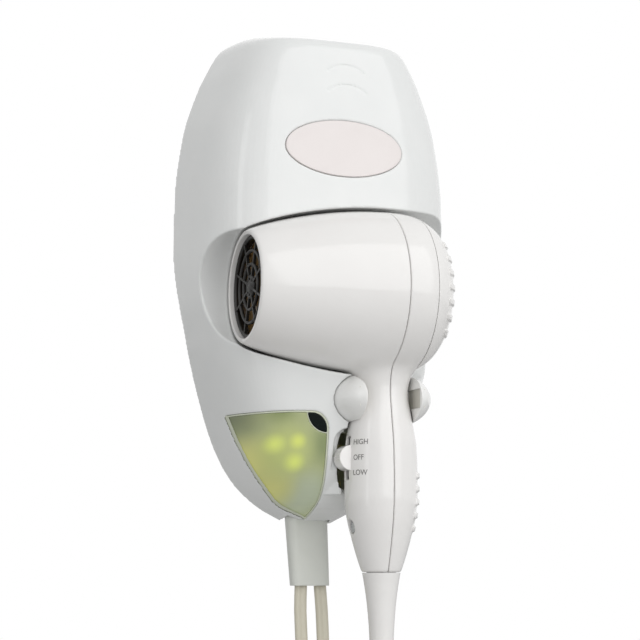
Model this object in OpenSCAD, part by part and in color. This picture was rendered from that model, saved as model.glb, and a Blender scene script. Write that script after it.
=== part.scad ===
// Wall-mounted hair dryer: an egg-shaped wall base with a night light, and a compact handset stowed in it.
// Millimetres. The wall is the plane y = 0, the front faces -Y, the nozzle points to -X and +Z is up.
// The origin is the middle of the face that lies on the wall.

/* [Wall base] */
// Height of the wall base
base_h = 250; // [244:1:256]
// Width of the wall base where it meets the wall
base_w = 143; // [139:1:148]
// Depth of the front face from the wall
base_depth = 57; // [55.5:0.5:59]
// Lean of the side walls, in millimetres per millimetre of depth
side_lean = 0.24; // [0.2:0.01:0.28]
// Squareness of the front corners, higher is squarer
corner_power = 4; // [3.6:0.2:5]
// Wall thickness of the base cover
cover_wall = 2.4; // [2:0.1:2.8]
// Thickness of the back plate
plate_t = 3; // [2.6:0.2:3.6]
// Room between the handset and the recess that it lies in
recess_gap = 1.4; // [1.1:0.1:1.8]

/* [Wall screws] */
// Distance between the wall screws, side to side
wall_screw_x = 70; // [64:1:76]
// Distance between the wall screws, up and down
wall_screw_z = 120; // [116:1:124]
// Height of the middle of the wall screws over the origin
wall_screw_mid = 15; // [12:1:18]
// Diameter of a wall screw hole
wall_screw_d = 5.2; // [4.6:0.1:5.8]

/* [Cover screws] */
// Shank diameter of the cover and cradle screws
screw_d = 3; // [2.6:0.1:3.4]
// Head diameter of the cover and cradle screws
screw_head_d = 5.8; // [5.4:0.1:6.4]
// Head height of the cover and cradle screws
screw_head_t = 1.5; // [1.2:0.1:1.8]
// Length of the cover and cradle screws under the head
screw_len = 10; // [8:0.5:12]

/* [Name plate] */
// Width of the oval name plate
badge_w = 60.5; // [54:0.5:64]
// Height of the oval name plate
badge_h = 28; // [24:1:30]
// Height of the name plate over the origin
badge_z = 56.3; // [54:0.1:60]
// Depth of the name plate in the cover
badge_t = 1.4; // [1:0.1:1.6]

/* [Handset barrel] */
// Depth of the barrel's axis from the wall
axis_depth = 50; // [49:0.5:51.5]
// Height of the barrel's axis over the origin, where it crosses the handle
axis_z = -13.7; // [-14.7:0.1:-12.7]
// Radius of the barrel at its widest
barrel_r = 40.1; // [39.1:0.1:40.9]
// Radius of the nozzle lip
nozzle_r = 27; // [26:0.2:28]
// Length of the barrel from the handle to the nozzle lip
nozzle_len = 70; // [68:0.2:73]
// Length of the barrel from the handle to the intake end
rear_len = 28.8; // [28:0.1:29.6]
// Radius of the flat of the intake end
intake_r = 20; // [18.5:0.5:21.5]
// Distance from the handle to the seam of the intake cap
cap_seam = 15.3; // [14.8:0.1:15.8]
// Wall thickness of the handset shells
shell_t = 2; // [1.8:0.1:2.3]

/* [Handle] */
// Distance of the handle from the middle of the base
handle_x = 20.6; // [19.6:0.1:21.8]
// Height of the handle's lower end over the origin
handle_end_z = -149.5; // [-152:0.5:-147]
// Radius of the neck
neck_r = 13.4; // [12.8:0.1:13.9]
// Radius of the handle at its fullest
grip_r = 17.9; // [17.2:0.1:18.3]
// Radius of the handle's lower end
tip_r = 9.5; // [8.9:0.1:10]

/* [Fan and motor] */
// Radius of the fan blades
fan_r = 33.6; // [32.6:0.2:34.2]
// Number of fan blades
fan_blades = 9; // [7:1:11]
// Radius of the fan hub
fan_hub_r = 12.5; // [11.5:0.5:13.5]
// Width of the fan, along the barrel
fan_w = 8; // [7:0.5:8.6]
// Radius of the motor can
motor_r = 12.2; // [11.2:0.2:12.8]
// Length of the motor can
motor_len = 28; // [26:0.5:30]
// Radius of the motor shaft
shaft_r = 1.15; // [1:0.05:1.5]
// Number of air guide vanes
guide_vanes = 11; // [9:2:13]

/* [Heater] */
// Room between the heater's mica sleeve and the outlet grille
heater_front_gap = 0.9; // [0.6:0.1:1.5]
// Room between the heater's mica sleeve and the motor
heater_back_gap = 2.5; // [2.3:0.1:4]
// Number of turns of heating wire
heater_rings = 7; // [5:1:8]
// Radius of the heating wire
heater_wire_r = 0.45; // [0.35:0.05:0.55]
// Thickness of the mica boards
mica_t = 1; // [0.8:0.1:1.3]

/* [Switch] */
// Height of the power slider at OFF over the origin
slider_z = -94.8; // [-95.8:0.2:-93.8]
// Travel of the power slider each way from OFF
slider_travel = 7.3; // [6.7:0.1:7.5]
// Radius of the round front of the slider knob
knob_r = 6.1; // [5.6:0.1:6.3]
// How far the knob stands out of the handle
knob_out = 5; // [4.6:0.1:5.6]
// Width of the knob, along the wall's normal
knob_w = 9; // [8:0.5:10]

/* [Cradle] */
// Height of the middle of the cradle ears over the origin
ear_z = -66; // [-67:0.2:-65.4]
// Height of a cradle ear
ear_h = 23; // [21.5:0.5:24]
// Depth of the tip of the cradle ears from the wall
ear_reach = 74; // [72:0.5:76]
// Room between the cradle ears and the neck
ear_gap = 0.5; // [0.4:0.05:0.8]
// Width of a snap pad, up and down
pad_h = 9; // [8:0.5:10]

/* [Night light] */
// Height of the top edge of the night light window over the origin
window_top_z = -72.8; // [-73.6:0.2:-72.2]
// Thickness of the night light window
window_t = 2; // [1.6:0.1:2.2]
// Room between the window and its opening
window_gap = 0.25; // [0.15:0.05:0.35]
// Radius of the round bite for the light sensor
sensor_r = 10; // [9:0.5:11]
// Diameter of a light-emitting diode
led_d = 5; // [4.6:0.1:5.4]

/* [Cord outlets] */
// Width of the cord gland where it leaves the base
gland_w = 19.6; // [18.8:0.2:20.6]
// Width of the cord gland at its lower end
gland_end_w = 16.4; // [15.8:0.2:17.2]
// Height of the lower end of the cord gland over the origin
gland_end_z = -156; // [-158:0.5:-154]
// Length of the bend sleeve under the handle
sleeve_len = 50; // [47:0.5:50.5]

/* [Hidden] */
$fn = 64;

skin = 0.01;                    // past a face, so that a cut goes clean through
far = 60;                       // far enough to clear the whole base from any cut
fit = 0.3;                      // room of a piece that is dropped into its seat
half_h = base_h / 2;
half_w = base_w / 2;
handle_drop = axis_z - handle_end_z;
sleeve_end_z = handle_end_z - sleeve_len;

// ---- curves -------------------------------------------------------------------------------------------------

// The row of knots below u, and a smooth curve through column c of the knots that never overshoots them.
function row_of(k, u, i = 0) = (i >= len(k) - 2 || u <= k[i + 1][0]) ? i : row_of(k, u, i + 1);
function rise(k, i, c) = (k[i + 1][c] - k[i][c]) / (k[i + 1][0] - k[i][0]);
function lean(k, i, c) = i == 0 ? rise(k, 0, c) : i == len(k) - 1 ? rise(k, i - 1, c) :
    let (a = rise(k, i - 1, c), b = rise(k, i, c)) a * b <= 0 ? 0 : 2 * a * b / (a + b);
function smooth(k, u, c) =
    let (i = row_of(k, u), h = k[i + 1][0] - k[i][0], t = min(max((u - k[i][0]) / h, 0), 1), q = 1 - t)
    k[i][c] * (1 + 2 * t) * q * q + k[i + 1][c] * t * t * (3 - 2 * t)
    + h * t * q * (lean(k, i, c) * q - lean(k, i + 1, c) * t);

// A closed solid through rings of as many points each, the first and last ring flat.
function loft_faces(n, m) = concat(
    [for (i = [0:n - 2], j = [0:m - 1]) let (a = i * m + j, b = i * m + (j + 1) % m) [a, b + m, b]],
    [for (i = [0:n - 2], j = [0:m - 1]) let (a = i * m + j, b = i * m + (j + 1) % m) [a, a + m, b + m]],
    [[for (j = [0:m - 1]) j]],
    [[for (j = [m - 1:-1:0]) (n - 1) * m + j]]);
module loft(rings) {
    polyhedron([for (ring = rings) each ring], loft_faces(len(rings), len(rings[0])), convexity = 6);
}

// ---- the egg of the wall base -------------------------------------------------------------------------------

// Height, as a share of half the base's height, then the shares of the half width and of the depth there.
egg_form = [[-1, 0.17, 0.20], [-0.93, 0.39, 0.55], [-0.83, 0.57, 0.76], [-0.71, 0.688, 0.86],
    [-0.55, 0.785, 0.93], [-0.29, 0.896, 0.98], [0.09, 0.996, 1], [0.30, 0.99, 1], [0.55, 0.937, 0.98],
    [0.75, 0.828, 0.945], [0.86, 0.735, 0.90], [0.90, 0.695, 0.83], [0.93, 0.65, 0.62], [0.97, 0.52, 0.28],
    [1, 0.30, 0.02]];
egg_turns = [0, 6, 16, 28, 40, 52, 64, 76, 90];   // where a level of the egg has its points, side to front
egg_levels = [1, 0.985, 0.965, 0.945, 0.925, 0.905, 0.885, 0.86, 0.82, 0.76, 0.68, 0.57, 0.44, 0.30, 0.15, 0,
    -0.15, -0.30, -0.44, -0.57, -0.68, -0.77, -0.85, -0.91, -0.955, -0.985, -1];

function egg_width(u, inset) = smooth(egg_form, u, 1) * half_w - inset;
function egg_depth(u, inset) = max(smooth(egg_form, u, 2) * base_depth - inset, 0.4);
function egg_point(a, w, d, z) =
    let (y = d * pow(sin(a), 2 / corner_power))
    [side_lean * (d - y) + (w - side_lean * d) * pow(cos(a), 2 / corner_power), -y, z];
function flip(p) = [-p[0], p[1], p[2]];
function egg_ring(u, inset, back) =
    let (z = u * (half_h - inset), w = egg_width(u, inset), d = egg_depth(u, inset),
        side = [for (a = egg_turns) egg_point(a, w, d, z)], n = len(side))
    concat(back > 0 ? [[w, back, z]] : [], side, [for (i = [n - 2:-1:0]) flip(side[i])],
        back > 0 ? [[-w, back, z]] : []);
// The base's outer form, let in by inset, open past the wall plane by back, and cut off at two levels.
module egg(inset = 0, back = 0, low = -1, high = 1) {
    loft([for (u = egg_levels) if (u >= low && u <= high) egg_ring(u, inset, back)]);
}
// The part of the egg's skin between two insets and two levels, inside a prism along the wall's normal.
module skin_patch(outer, inner, low, high) {
    difference() {
        intersection() {
            egg(outer, 0, low, high);
            along_normal(0, base_depth + 10) children();
        }
        egg(inner, 1, low, high);
    }
}
// Turns a drawing in x and z into a prism from one depth to another.
module along_normal(d0, d1) {
    translate([0, -d0, 0]) rotate([90, 0, 0]) linear_extrude(d1 - d0) children();
}

// ---- the handset's outer form -------------------------------------------------------------------------------

// Radius of the barrel at a distance s from the handle along its axis: the nozzle is negative.
function front_r(s) = nozzle_r + (barrel_r - nozzle_r) * pow(max(sin(90 * (1 + s / nozzle_len)), 0), 0.8);
function back_r(s) = intake_r + (barrel_r - intake_r) * sqrt(max(1 - pow(s / rear_len, 2.8), 0));
function form_r(s) = s < 0 ? front_r(s) : back_r(s);
front_steps = [0, 0.01, 0.03, 0.07, 0.13, 0.22, 0.34, 0.5, 0.7, 1];
back_steps = [for (a = [10:10:90]) sin(a)];
barrel_line = concat([for (t = front_steps) [front_r(nozzle_len * (t - 1)), nozzle_len * (t - 1)]],
    [for (t = back_steps) [back_r(rear_len * t), rear_len * t]]);

module at_handle() {
    translate([handle_x, -axis_depth, 0]) children();
}
// Turns +Z into the barrel's axis, towards the intake, with the handle's middle plane at 0.
module along_barrel() {
    translate([handle_x, -axis_depth, axis_z]) rotate([0, 90, 0]) children();
}
module tube(r_out, r_in, s0, s1) {
    translate([0, 0, s0]) difference() {
        cylinder(r = r_out, h = s1 - s0);
        translate([0, 0, -skin]) cylinder(r = r_in, h = s1 - s0 + 2 * skin);
    }
}

// Drop below the barrel's axis as a share of the handle's, then half width and half depth there.
handle_form = [[0.20, neck_r + 14, neck_r + 6], [0.24, neck_r + 8, neck_r + 2.6],
    [0.275, neck_r + 4.4, neck_r + 1], [0.31, neck_r + 1.4, neck_r + 0.4], [0.36, neck_r, neck_r],
    [0.46, grip_r * 0.86, grip_r * 0.85], [0.56, grip_r * 0.98, grip_r * 0.97], [0.65, grip_r, grip_r * 0.99],
    [0.73, grip_r * 0.995, grip_r * 0.985], [0.80, grip_r * 0.945, grip_r * 0.935],
    [0.88, grip_r * 0.81, grip_r * 0.80], [0.945, grip_r * 0.67, grip_r * 0.66], [1, tip_r, tip_r]];
handle_levels = [0.20, 0.22, 0.24, 0.265, 0.29, 0.32, 0.36, 0.42, 0.48, 0.55, 0.64, 0.72, 0.80, 0.86,
    0.91, 0.96, 1];
handle_sides = 24;

function handle_r_at(z) = smooth(handle_form, (axis_z - z) / handle_drop, 1);
function handle_ring(t, inset, extra = 0) =
    let (a = smooth(handle_form, t, 1) - inset, b = smooth(handle_form, t, 2) - inset)
    [for (j = [0:handle_sides - 1]) let (q = 360 * j / handle_sides)
        [a * cos(q), b * sin(q), axis_z - handle_drop * t - extra]];
module handle(inset = 0, extra = 0) {
    n = len(handle_levels) - 1;
    at_handle() loft([for (i = [n:-1:0]) handle_ring(handle_levels[i], inset, i == n ? extra : 0)]);
}
// Round room of the handle's width with a margin, for what has to stay clear of it.
module handle_room(margin) {
    at_handle() rotate_extrude() polygon(concat([[0, axis_z], [0, handle_end_z - far]],
        [[tip_r + margin + 3, handle_end_z - far]],
        [for (i = [len(handle_levels) - 1:-1:0]) let (t = handle_levels[i])
            [smooth(handle_form, t, 1) + margin + (t == 1 ? 3 : 0), axis_z - handle_drop * t]],
        [[smooth(handle_form, 0.2, 1) + margin, axis_z]]));
}

// The room that the handset needs with a margin, with its way out to the front and both ends open.
module handset_room(margin) {
    room_line = concat([[nozzle_r + margin, -nozzle_len - far]],
        [for (p = barrel_line) if (p[1] < 0) [p[0] + margin, p[1]]],
        [[barrel_r + margin, 0], [barrel_r + margin, rear_len + far]]);
    n = len(room_line) - 1;
    along_barrel() rotate_extrude() polygon(concat([[0, -nozzle_len - far]], room_line, [[0, rear_len + far]]));
    translate([handle_x, -axis_depth, axis_z]) rotate([90, 0, 0])
        linear_extrude(far) polygon(concat([for (p = room_line) [p[1], p[0]]],
            [for (i = [n:-1:0]) [room_line[i][1], -room_line[i][0]]]));
    handle_room(margin);
    translate([handle_x, 0, 0]) along_normal(axis_depth, axis_depth + far)
        polygon(concat([for (t = handle_levels) [smooth(handle_form, t, 1) + margin, axis_z - handle_drop * t]],
            [[tip_r + margin + 3, handle_end_z - far], [-tip_r - margin - 3, handle_end_z - far]],
            [for (i = [len(handle_levels) - 1:-1:0]) let (t = handle_levels[i])
                [-smooth(handle_form, t, 1) - margin, axis_z - handle_drop * t]]));
}

// ---- wall base ----------------------------------------------------------------------------------------------

// Side, height and distance from the edge of the base of each cover screw.
cover_screw_places = [[-1, 84, 20.5], [1, 84, 20.5], [-1, -46, 7.6], [1, -41, 10.2]];
cover_screw_at = [for (p = cover_screw_places) [p[0] * egg_width(p[1] / half_h, p[2]), p[1]]];
cradle_screw_at = [[handle_x - 10, ear_z], [handle_x + 10, ear_z]];
web_d = 22;                     // depth of the cradle fork's web from the wall, on its posts
web_t = 4;
web_over = 9;                   // how far the web reaches past the neck on each side
board_d = 17;                   // depth of the night light board from the wall, on its posts
board_t = 1.6;
board_edge = 13;                // distance of the board's edge from the edge of the base
board_posts = [[-34, -78], [-22, -99]];
board_pin_r = 1.3;
post_r = 3.6;
thread_gap = 0.05;

clamp_z = -108;
clamp_h = 9;
clamp_bite = 2.4;                // how deep the clamp screws go into the back plate

module screw(len) {
    cylinder(r = screw_head_d / 2, h = screw_head_t);
    translate([0, 0, screw_head_t]) cylinder(r = screw_d / 2, h = len);
}
// Children at each place, with +Z turned to the front and 0 at a depth from the wall.
module at_each(places, depth) {
    for (p = places) translate([p[0], -depth, p[1]]) rotate([90, 0, 0]) children();
}

gland_x = -2.8;
clamp_screw_at = [[gland_x - 13.6, clamp_z], [gland_x + 13.6, clamp_z]];
gland_d = 8;                    // depth of the cord gland's middle from the wall, where it leaves the base
gland_lean = 6;                 // how far the gland leans to the front over its length
gland_t = 10;
gland_end_t = 9;
gland_top_z = -half_h + cover_wall + 3.2;   // underside of its flange, inside the cover
gland_tilt_room = 1.8;

module gland_slot(margin) {
    translate([gland_x, -gland_d, -half_h - 4])
        linear_extrude(12)
            square([gland_w + 2 * margin, gland_t + 2 * margin + gland_tilt_room], center = true);
}

// Half the width that the cover leaves inside it at the depth of the plate's front face.
function plate_half(u) =
    let (w = egg_width(u, cover_wall + fit), d = egg_depth(u, cover_wall + fit))
    side_lean * (d - plate_t) + (w - side_lean * d) * pow(1 - pow(plate_t / d, corner_power), 1 / corner_power);
module back_plate() {
    levels = [for (u = egg_levels) if (egg_depth(u, cover_wall + fit) > plate_t + 0.5) u];
    side = [for (u = levels) [plate_half(u), u * (half_h - cover_wall - fit)]];
    color("gainsboro") difference() {
        union() {
            along_normal(0, plate_t)
                polygon(concat(side, [for (i = [len(side) - 1:-1:0]) [-side[i][0], side[i][1]]]));
            at_each(cradle_screw_at, plate_t - skin) cylinder(r = post_r, h = web_d - plate_t + skin);
            at_each(board_posts, plate_t - skin) cylinder(r = post_r - 0.8, h = board_d - plate_t + skin);
            at_each(board_posts, board_d - skin) cylinder(r = board_pin_r, h = board_t + 1);
            for (x = [-1, 1]) translate([x * 24, -plate_t - 3, half_h - 40]) cube([2.4, 6, 26], center = true);
        }
        for (x = [-1, 1], z = [-1, 1])
            translate([x * wall_screw_x / 2, skin, wall_screw_mid + z * wall_screw_z / 2]) rotate([90, 0, 0])
                cylinder(r = wall_screw_d / 2, h = plate_t + 2 * skin);
        at_each(cover_screw_at, -skin) {
            cylinder(r = screw_head_d / 2 + 0.2, h = screw_head_t + 0.1 + skin);
            cylinder(r = screw_d / 2 + 0.1, h = plate_t + 2 * skin);
        }
        at_each(cradle_screw_at, web_d - screw_len)
            cylinder(r = screw_d / 2 + thread_gap, h = screw_len + skin);
        at_each(clamp_screw_at, plate_t - clamp_bite)
            cylinder(r = screw_d / 2 + thread_gap, h = clamp_bite + skin);
        translate([gland_x, 0, -half_h]) cube([gland_w + 7, 2 * plate_t + 2, 13], center = true);
    }
}

window_corner_r = 9;
// Outline of the night light window, drawn in x and z and let in by inset: a rounded triangle whose long side
// runs beside the edge of the base, and whose right side runs beside the handle's trough.
window_edge = 5.2;              // width of the cover left between the window and the edge of the base
window_right_x = -6.6;
window_foot = 5.8;              // height of its lowest point over the bottom of the base
module window_outline(inset) {
    top = window_top_z - inset;
    levels = [for (i = [0:10]) top - i * (half_h - window_foot - inset + top) / 10];
    edge = [for (z = levels) [-egg_width(z / half_h, window_edge + inset), z]];
    offset(r = 0.8) offset(delta = -0.8) difference() {
        polygon(concat([[window_right_x - inset, top]], edge,
            [[window_right_x - 2 - inset, levels[10]]]));
        translate([window_right_x - inset - window_corner_r, top - window_corner_r]) difference() {
            square(window_corner_r + 1);
            circle(r = window_corner_r);
        }
    }
}
sensor_at = [window_right_x - 0.5, window_top_z + 0.5];
module sensor_bite(r) {
    translate(sensor_at) circle(r = r);
}

// The raised side of the trough beside the window, which rises to the handle and has the notch for the slider.
saddle_low_z = -112;
saddle_top_z = -76;
module saddle() {
    hull() {
        translate([0, 0, saddle_low_z]) linear_extrude(0.1)
            polygon([[-8.5, -38], [-0.5, -58], [9, -58], [9, -38]]);
        translate([0, 0, saddle_top_z]) linear_extrude(0.1)
            polygon([[-3.5, -48], [0.8, -57], [9, -57], [9, -48]]);
    }
}
knob_face_x = handle_x - grip_r - knob_out;
module slider_notch() {
    margin = 1;
    r = knob_r + margin;
    along_normal(axis_depth - knob_w / 2 - 1.5, axis_depth + far) hull()
        for (s = [-1, 1]) translate([knob_face_x + knob_r, slider_z + s * slider_travel]) circle(r = r);
}

ear_side_r = 48;                // radius of the bulge of an ear's outer face
ear_side_x = 43.5 - 21;         // where the middle of that bulge lies past the handle's middle plane
module ear_profile(margin) {
    nose = 16 + margin;
    tall = ear_h / 2 + margin;
    union() {
        translate([web_d, -tall]) square([ear_reach - 16 - web_d, 2 * tall]);
        translate([ear_reach - 16, 0]) scale([nose / tall, 1]) circle(r = tall);
    }
}
// One ear of the fork, on the -X side of the neck, with a margin round it.
module ear(margin) {
    intersection() {
        translate([handle_x - neck_r - 14, 0, ear_z]) rotate([90, 0, 90]) mirror([1, 0, 0])
            linear_extrude(neck_r + 14) ear_profile(margin);
        translate([handle_x + ear_side_x, -46, ear_z]) sphere(r = ear_side_r + margin);
    }
}
module both_sides() {
    children();
    translate([handle_x, 0, 0]) mirror([1, 0, 0]) translate([-handle_x, 0, 0]) children();
}

module front_cover() {
    liner = recess_gap + cover_wall;
    color("whitesmoke") difference() {
        union() {
            difference() {
                egg();
                egg(cover_wall, 2);
            }
            intersection() {
                egg(cover_wall / 2);
                union() {
                    handset_room(liner);
                    at_each(cover_screw_at, plate_t) cylinder(r = post_r, h = base_depth);
                }
            }
            saddle();
        }
        handset_room(recess_gap);
        slider_notch();
        both_sides() ear(0.4);
        along_normal(0, base_depth + 5) window_outline(0);
        difference() {
            along_normal(plate_t, base_depth + 5) badge_outline(0.35);
            egg(badge_t);
        }
        difference() {
            along_normal(plate_t, base_depth + 5) arc_marks();
            egg(0.5);
        }
        at_each(cover_screw_at, plate_t - skin)
            cylinder(r = screw_d / 2 + thread_gap, h = screw_len - plate_t + screw_head_t + 1);
        gland_slot(fit);
    }
}

module badge_outline(margin) {
    a = badge_w / 2 + margin;
    b = badge_h / 2 + margin;
    translate([0, badge_z]) polygon([for (i = [0:47]) [a * cos(7.5 * i), b * sin(7.5 * i)]]);
}
// Two shallow arcs that are pressed into the cover over the name plate.
arc_at = [[1.6, 99.9], [1.8, 89.7]];
arc_r = 16;
module arc_marks() {
    for (top = arc_at) translate([top[0], top[1] - arc_r])
        polygon(concat([for (a = [48:7:132]) [arc_r * cos(a), arc_r * sin(a)]],
            [for (a = [132:-7:48]) [(arc_r - 1) * cos(a), (arc_r - 1) * sin(a)]]));
}
module name_plate() {
    color("mistyrose") skin_patch(-0.1, badge_t - 0.05, 0.3, 0.68) badge_outline(0);
}

module night_light_window() {
    color("yellowgreen") skin_patch(0.1, window_t, -1, -0.5) difference() {
        window_outline(window_gap);
        sensor_bite(sensor_r);
    }
}
module sensor_window() {
    color("black") skin_patch(0.3, window_t, -0.77, -0.5) intersection() {
        window_outline(window_gap);
        sensor_bite(sensor_r - 0.1);
    }
}

module night_light_board() {
    color("darkgreen") difference() {
        along_normal(board_d, board_d + board_t) polygon(concat(
            [for (z = [-74, -84, -94, -103]) [-egg_width(z / half_h, board_edge), z]],
            [[-10, -103], [-5, -96], [-5, -74]]));
        at_each(board_posts, board_d - skin) cylinder(r = board_pin_r + 0.1, h = board_t + 2 * skin);
    }
}
photocell_at = [-10, -79];
led_at = [[-27.6, -85.8], [-15.5, -84], [-17.3, -94.7]];
module night_light_leds() {
    color("khaki") at_each(led_at, board_d + board_t) {
        cylinder(r = led_d / 2 + 0.4, h = 1);
        translate([0, 0, 1]) cylinder(r = led_d / 2, h = 4.6);
        translate([0, 0, 5.6]) sphere(r = led_d / 2);
    }
}
module photocell() {
    stem = 20;
    color("dimgray") at_each([photocell_at], board_d + board_t) difference() {
        union() {
            cylinder(r = 1.5, h = stem);
            translate([0, 0, stem]) cylinder(r = 2.6, h = 3);
        }
        for (k = [-1, 0, 1]) translate([0, 1.4 * k, stem + 3]) cube([3.6, 0.5, 0.6], center = true);
    }
}

// The fork that holds the neck: a web on two posts of the back plate, and two ears through the cover.
module cradle_fork() {
    color("white") difference() {
        union() {
            both_sides() ear(0);
            translate([handle_x, -web_d - web_t / 2, ear_z])
                cube([2 * (neck_r + web_over), web_t, ear_h], center = true);
        }
        handle_room(ear_gap);
        translate([handle_x, 0, 0]) along_normal(axis_depth, axis_depth + far) fork_mouth();
        at_each(cradle_screw_at, web_d - skin) cylinder(r = screw_d / 2 + 0.1, h = web_t + 2 * skin);
        at_each(cradle_screw_at, web_d + web_t) cylinder(r = screw_head_d / 2 + 0.3, h = axis_depth - web_d);
        both_sides() pad_seat(0);
    }
}
module fork_mouth() {
    h = neck_r + ear_gap + 0.1;
    polygon(concat([for (t = handle_levels) if (t < 0.5) [max(smooth(handle_form, t, 1) + ear_gap, h),
            axis_z - handle_drop * t]],
        [[h, ear_z - ear_h], [-h, ear_z - ear_h]],
        [for (i = [len(handle_levels) - 1:-1:0]) let (t = handle_levels[i]) if (t < 0.5)
            [-max(smooth(handle_form, t, 1) + ear_gap, h), axis_z - handle_drop * t]]));
}
pad_d0 = 50;
pad_d1 = 66;
pad_t = 2;
pad_face_r = handle_r_at(ear_z - pad_h / 2) + ear_gap;
// The pocket in an ear's inner face, and with an inset the snap pad that sits in its middle.
module pad_seat(inset) {
    h = inset == 0 ? ear_h - 6 : pad_h;
    translate([handle_x - pad_face_r - pad_t, -pad_d1 + inset, ear_z - h / 2])
        cube([pad_t + (inset == 0 ? 2 : 0), pad_d1 - pad_d0 - 2 * inset, h]);
}
module snap_pads() {
    color("silver") both_sides() pad_seat(0.15);
}
module cradle_screws() {
    color("lightsteelblue") at_each(cradle_screw_at, web_d + web_t + screw_head_t) mirror([0, 0, 1])
        screw(screw_len - 1);
}
module cover_screws() {
    color("lightsteelblue") at_each(cover_screw_at, 0) screw(screw_len);
}

block_size = [26, 12, 13];
block_at = [18, -plate_t, -92];
module terminal_block() {
    color("ivory") translate(block_at) difference() {
        translate([-block_size[0] / 2, -block_size[2], -block_size[1] / 2])
            cube([block_size[0], block_size[2], block_size[1]]);
        for (k = [-1, 0, 1]) translate([k * 8, -block_size[2] - skin, 0]) rotate([-90, 0, 0])
            cylinder(r = 1.8, h = 5);
        for (k = [-1, 0, 1]) translate([k * 8, -block_size[2] / 2 + 1, 0])
            cylinder(r = 1.7, h = 20, center = true);
    }
}
module cord_clamp() {
    color("ivory") difference() {
        translate([gland_x - 17, -plate_t - clamp_h, clamp_z - 4]) cube([34, clamp_h, 8]);
        translate([gland_x - 10.5, -plate_t - clamp_h + 3, clamp_z - 5]) cube([21, clamp_h, 10]);
        at_each(clamp_screw_at, plate_t - skin) cylinder(r = screw_d / 2 + 0.1, h = clamp_h + 2 * skin);
    }
}
module clamp_screws() {
    color("lightsteelblue") at_each(clamp_screw_at, plate_t + clamp_h + screw_head_t) mirror([0, 0, 1])
        screw(clamp_h + clamp_bite - 0.2);
}

module cord_gland() {
    color("gainsboro") difference() {
        union() {
            hull() {
                translate([gland_x, -gland_d, gland_top_z]) linear_extrude(0.1)
                    rounded(gland_w, gland_t, 4);
                translate([gland_x, -gland_d - gland_lean, gland_end_z]) linear_extrude(0.1)
                    rounded(gland_end_w, gland_end_t, 3.5);
            }
            translate([gland_x, -gland_d, gland_top_z]) linear_extrude(1.2) rounded(gland_w + 1, gland_t, 3);
        }
        translate([gland_x, -gland_d - gland_t / 2 - 0.9, gland_end_z - 1])
            cylinder(r = 2, h = gland_top_z - gland_end_z - 4);
    }
}
module rounded(x, y, r) {
    hull() for (i = [-1, 1], j = [-1, 1]) translate([i * (x / 2 - r), j * (y / 2 - r)]) circle(r = r, $fn = 32);
}

// ---- handset ------------------------------------------------------------------------------------------------

module barrel(inset = 0, open = 0) {
    line = [for (p = barrel_line) [p[0] - inset, p[1]]];
    n = len(line) - 1;
    along_barrel() rotate_extrude() polygon(concat(
        [[0, line[0][1] - open], [line[0][0], line[0][1] - open]], line,
        [[line[n][0], line[n][1] - inset + skin], [0, line[n][1] - inset + skin]]));
}
mouth_r = nozzle_r - shell_t;
grille_s = -nozzle_len + 4.6;    // front face of the outlet grille, along the barrel
grille_t = 2;
grille_rim = 2;                  // how far the grille's rim reaches behind it
motor_s = -27.2;                 // front end of the motor can
sleeve_s = grille_s + grille_t + grille_rim + heater_front_gap;
heater_len = motor_s - heater_back_gap - sleeve_s;
sleeve_r = front_r(sleeve_s) - shell_t - 0.25;

// Both shells together, hollow, before the split.
module handset_hollow() {
    difference() {
        union() {
            barrel();
            handle();
            children();
        }
        barrel_hollow();
        handle(shell_t, 3);
    }
}
// The barrel's inside: a straight mouth for the grille, then a wall of even thickness.
module barrel_hollow() {
    lip_s = grille_s + grille_t + grille_rim + 0.4;
    along_barrel() rotate_extrude() polygon(concat(
        [[0, -nozzle_len - 5], [mouth_r, -nozzle_len - 5], [mouth_r, lip_s], [front_r(lip_s) - shell_t, lip_s]],
        [for (p = barrel_line) if (p[1] > lip_s + 0.2 && p[1] < rear_len - 0.1) [p[0] - shell_t, p[1]]],
        [[intake_r - shell_t, rear_len + 5], [0, rear_len + 5]]));
}
module front_side(gap = 0) {
    translate([handle_x - far * 2, -far * 2, -far * 4]) cube([far * 2 - gap, far * 4, far * 5]);
}
module behind_seam(s) {
    along_barrel() translate([0, 0, s]) cylinder(r = far, h = far);
}

slot_z = 2 * slider_travel + 6.2;
board_x = handle_x + 3.5;        // the rectifier board stands on end in the handle
board_low_z = slider_z - 4;
screw_z = -127.6;                // height of the handle screw
screw_recess_r = 3.6;
module front_shell() {
    color("white") difference() {
        union() {
            intersection() {
                handset_hollow();
                front_side();
            }
            intersection() {
                handle(0.5);
                translate([handle_x - grip_r, -axis_depth, screw_z]) rotate([0, 90, 0])
                    cylinder(r = screw_recess_r + 1.4, h = grip_r - 4);
            }
        }
        translate([handle_x - grip_r - 1, -axis_depth, slider_z]) cube([9, 4.4, slot_z], center = true);
        translate([handle_x - grip_r - 1, -axis_depth, screw_z]) rotate([0, 90, 0])
            cylinder(r = screw_recess_r, h = 6);
        translate([handle_x - grip_r - 1, -axis_depth, screw_z]) rotate([0, 90, 0])
            cylinder(r = screw_d / 2 + 0.1, h = grip_r + 2);
    }
}
grip_ribs = 5;
rib_pitch = 6.4;
module grip_rib_rows() {
    intersection() {
        handle(-0.7);
        for (k = [0:grip_ribs - 1])
            translate([handle_x + grip_r - 4, -axis_depth - 8, screw_z - 2.4 + k * rib_pitch])
                cube([6, 16, 2.2]);
    }
}
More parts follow.
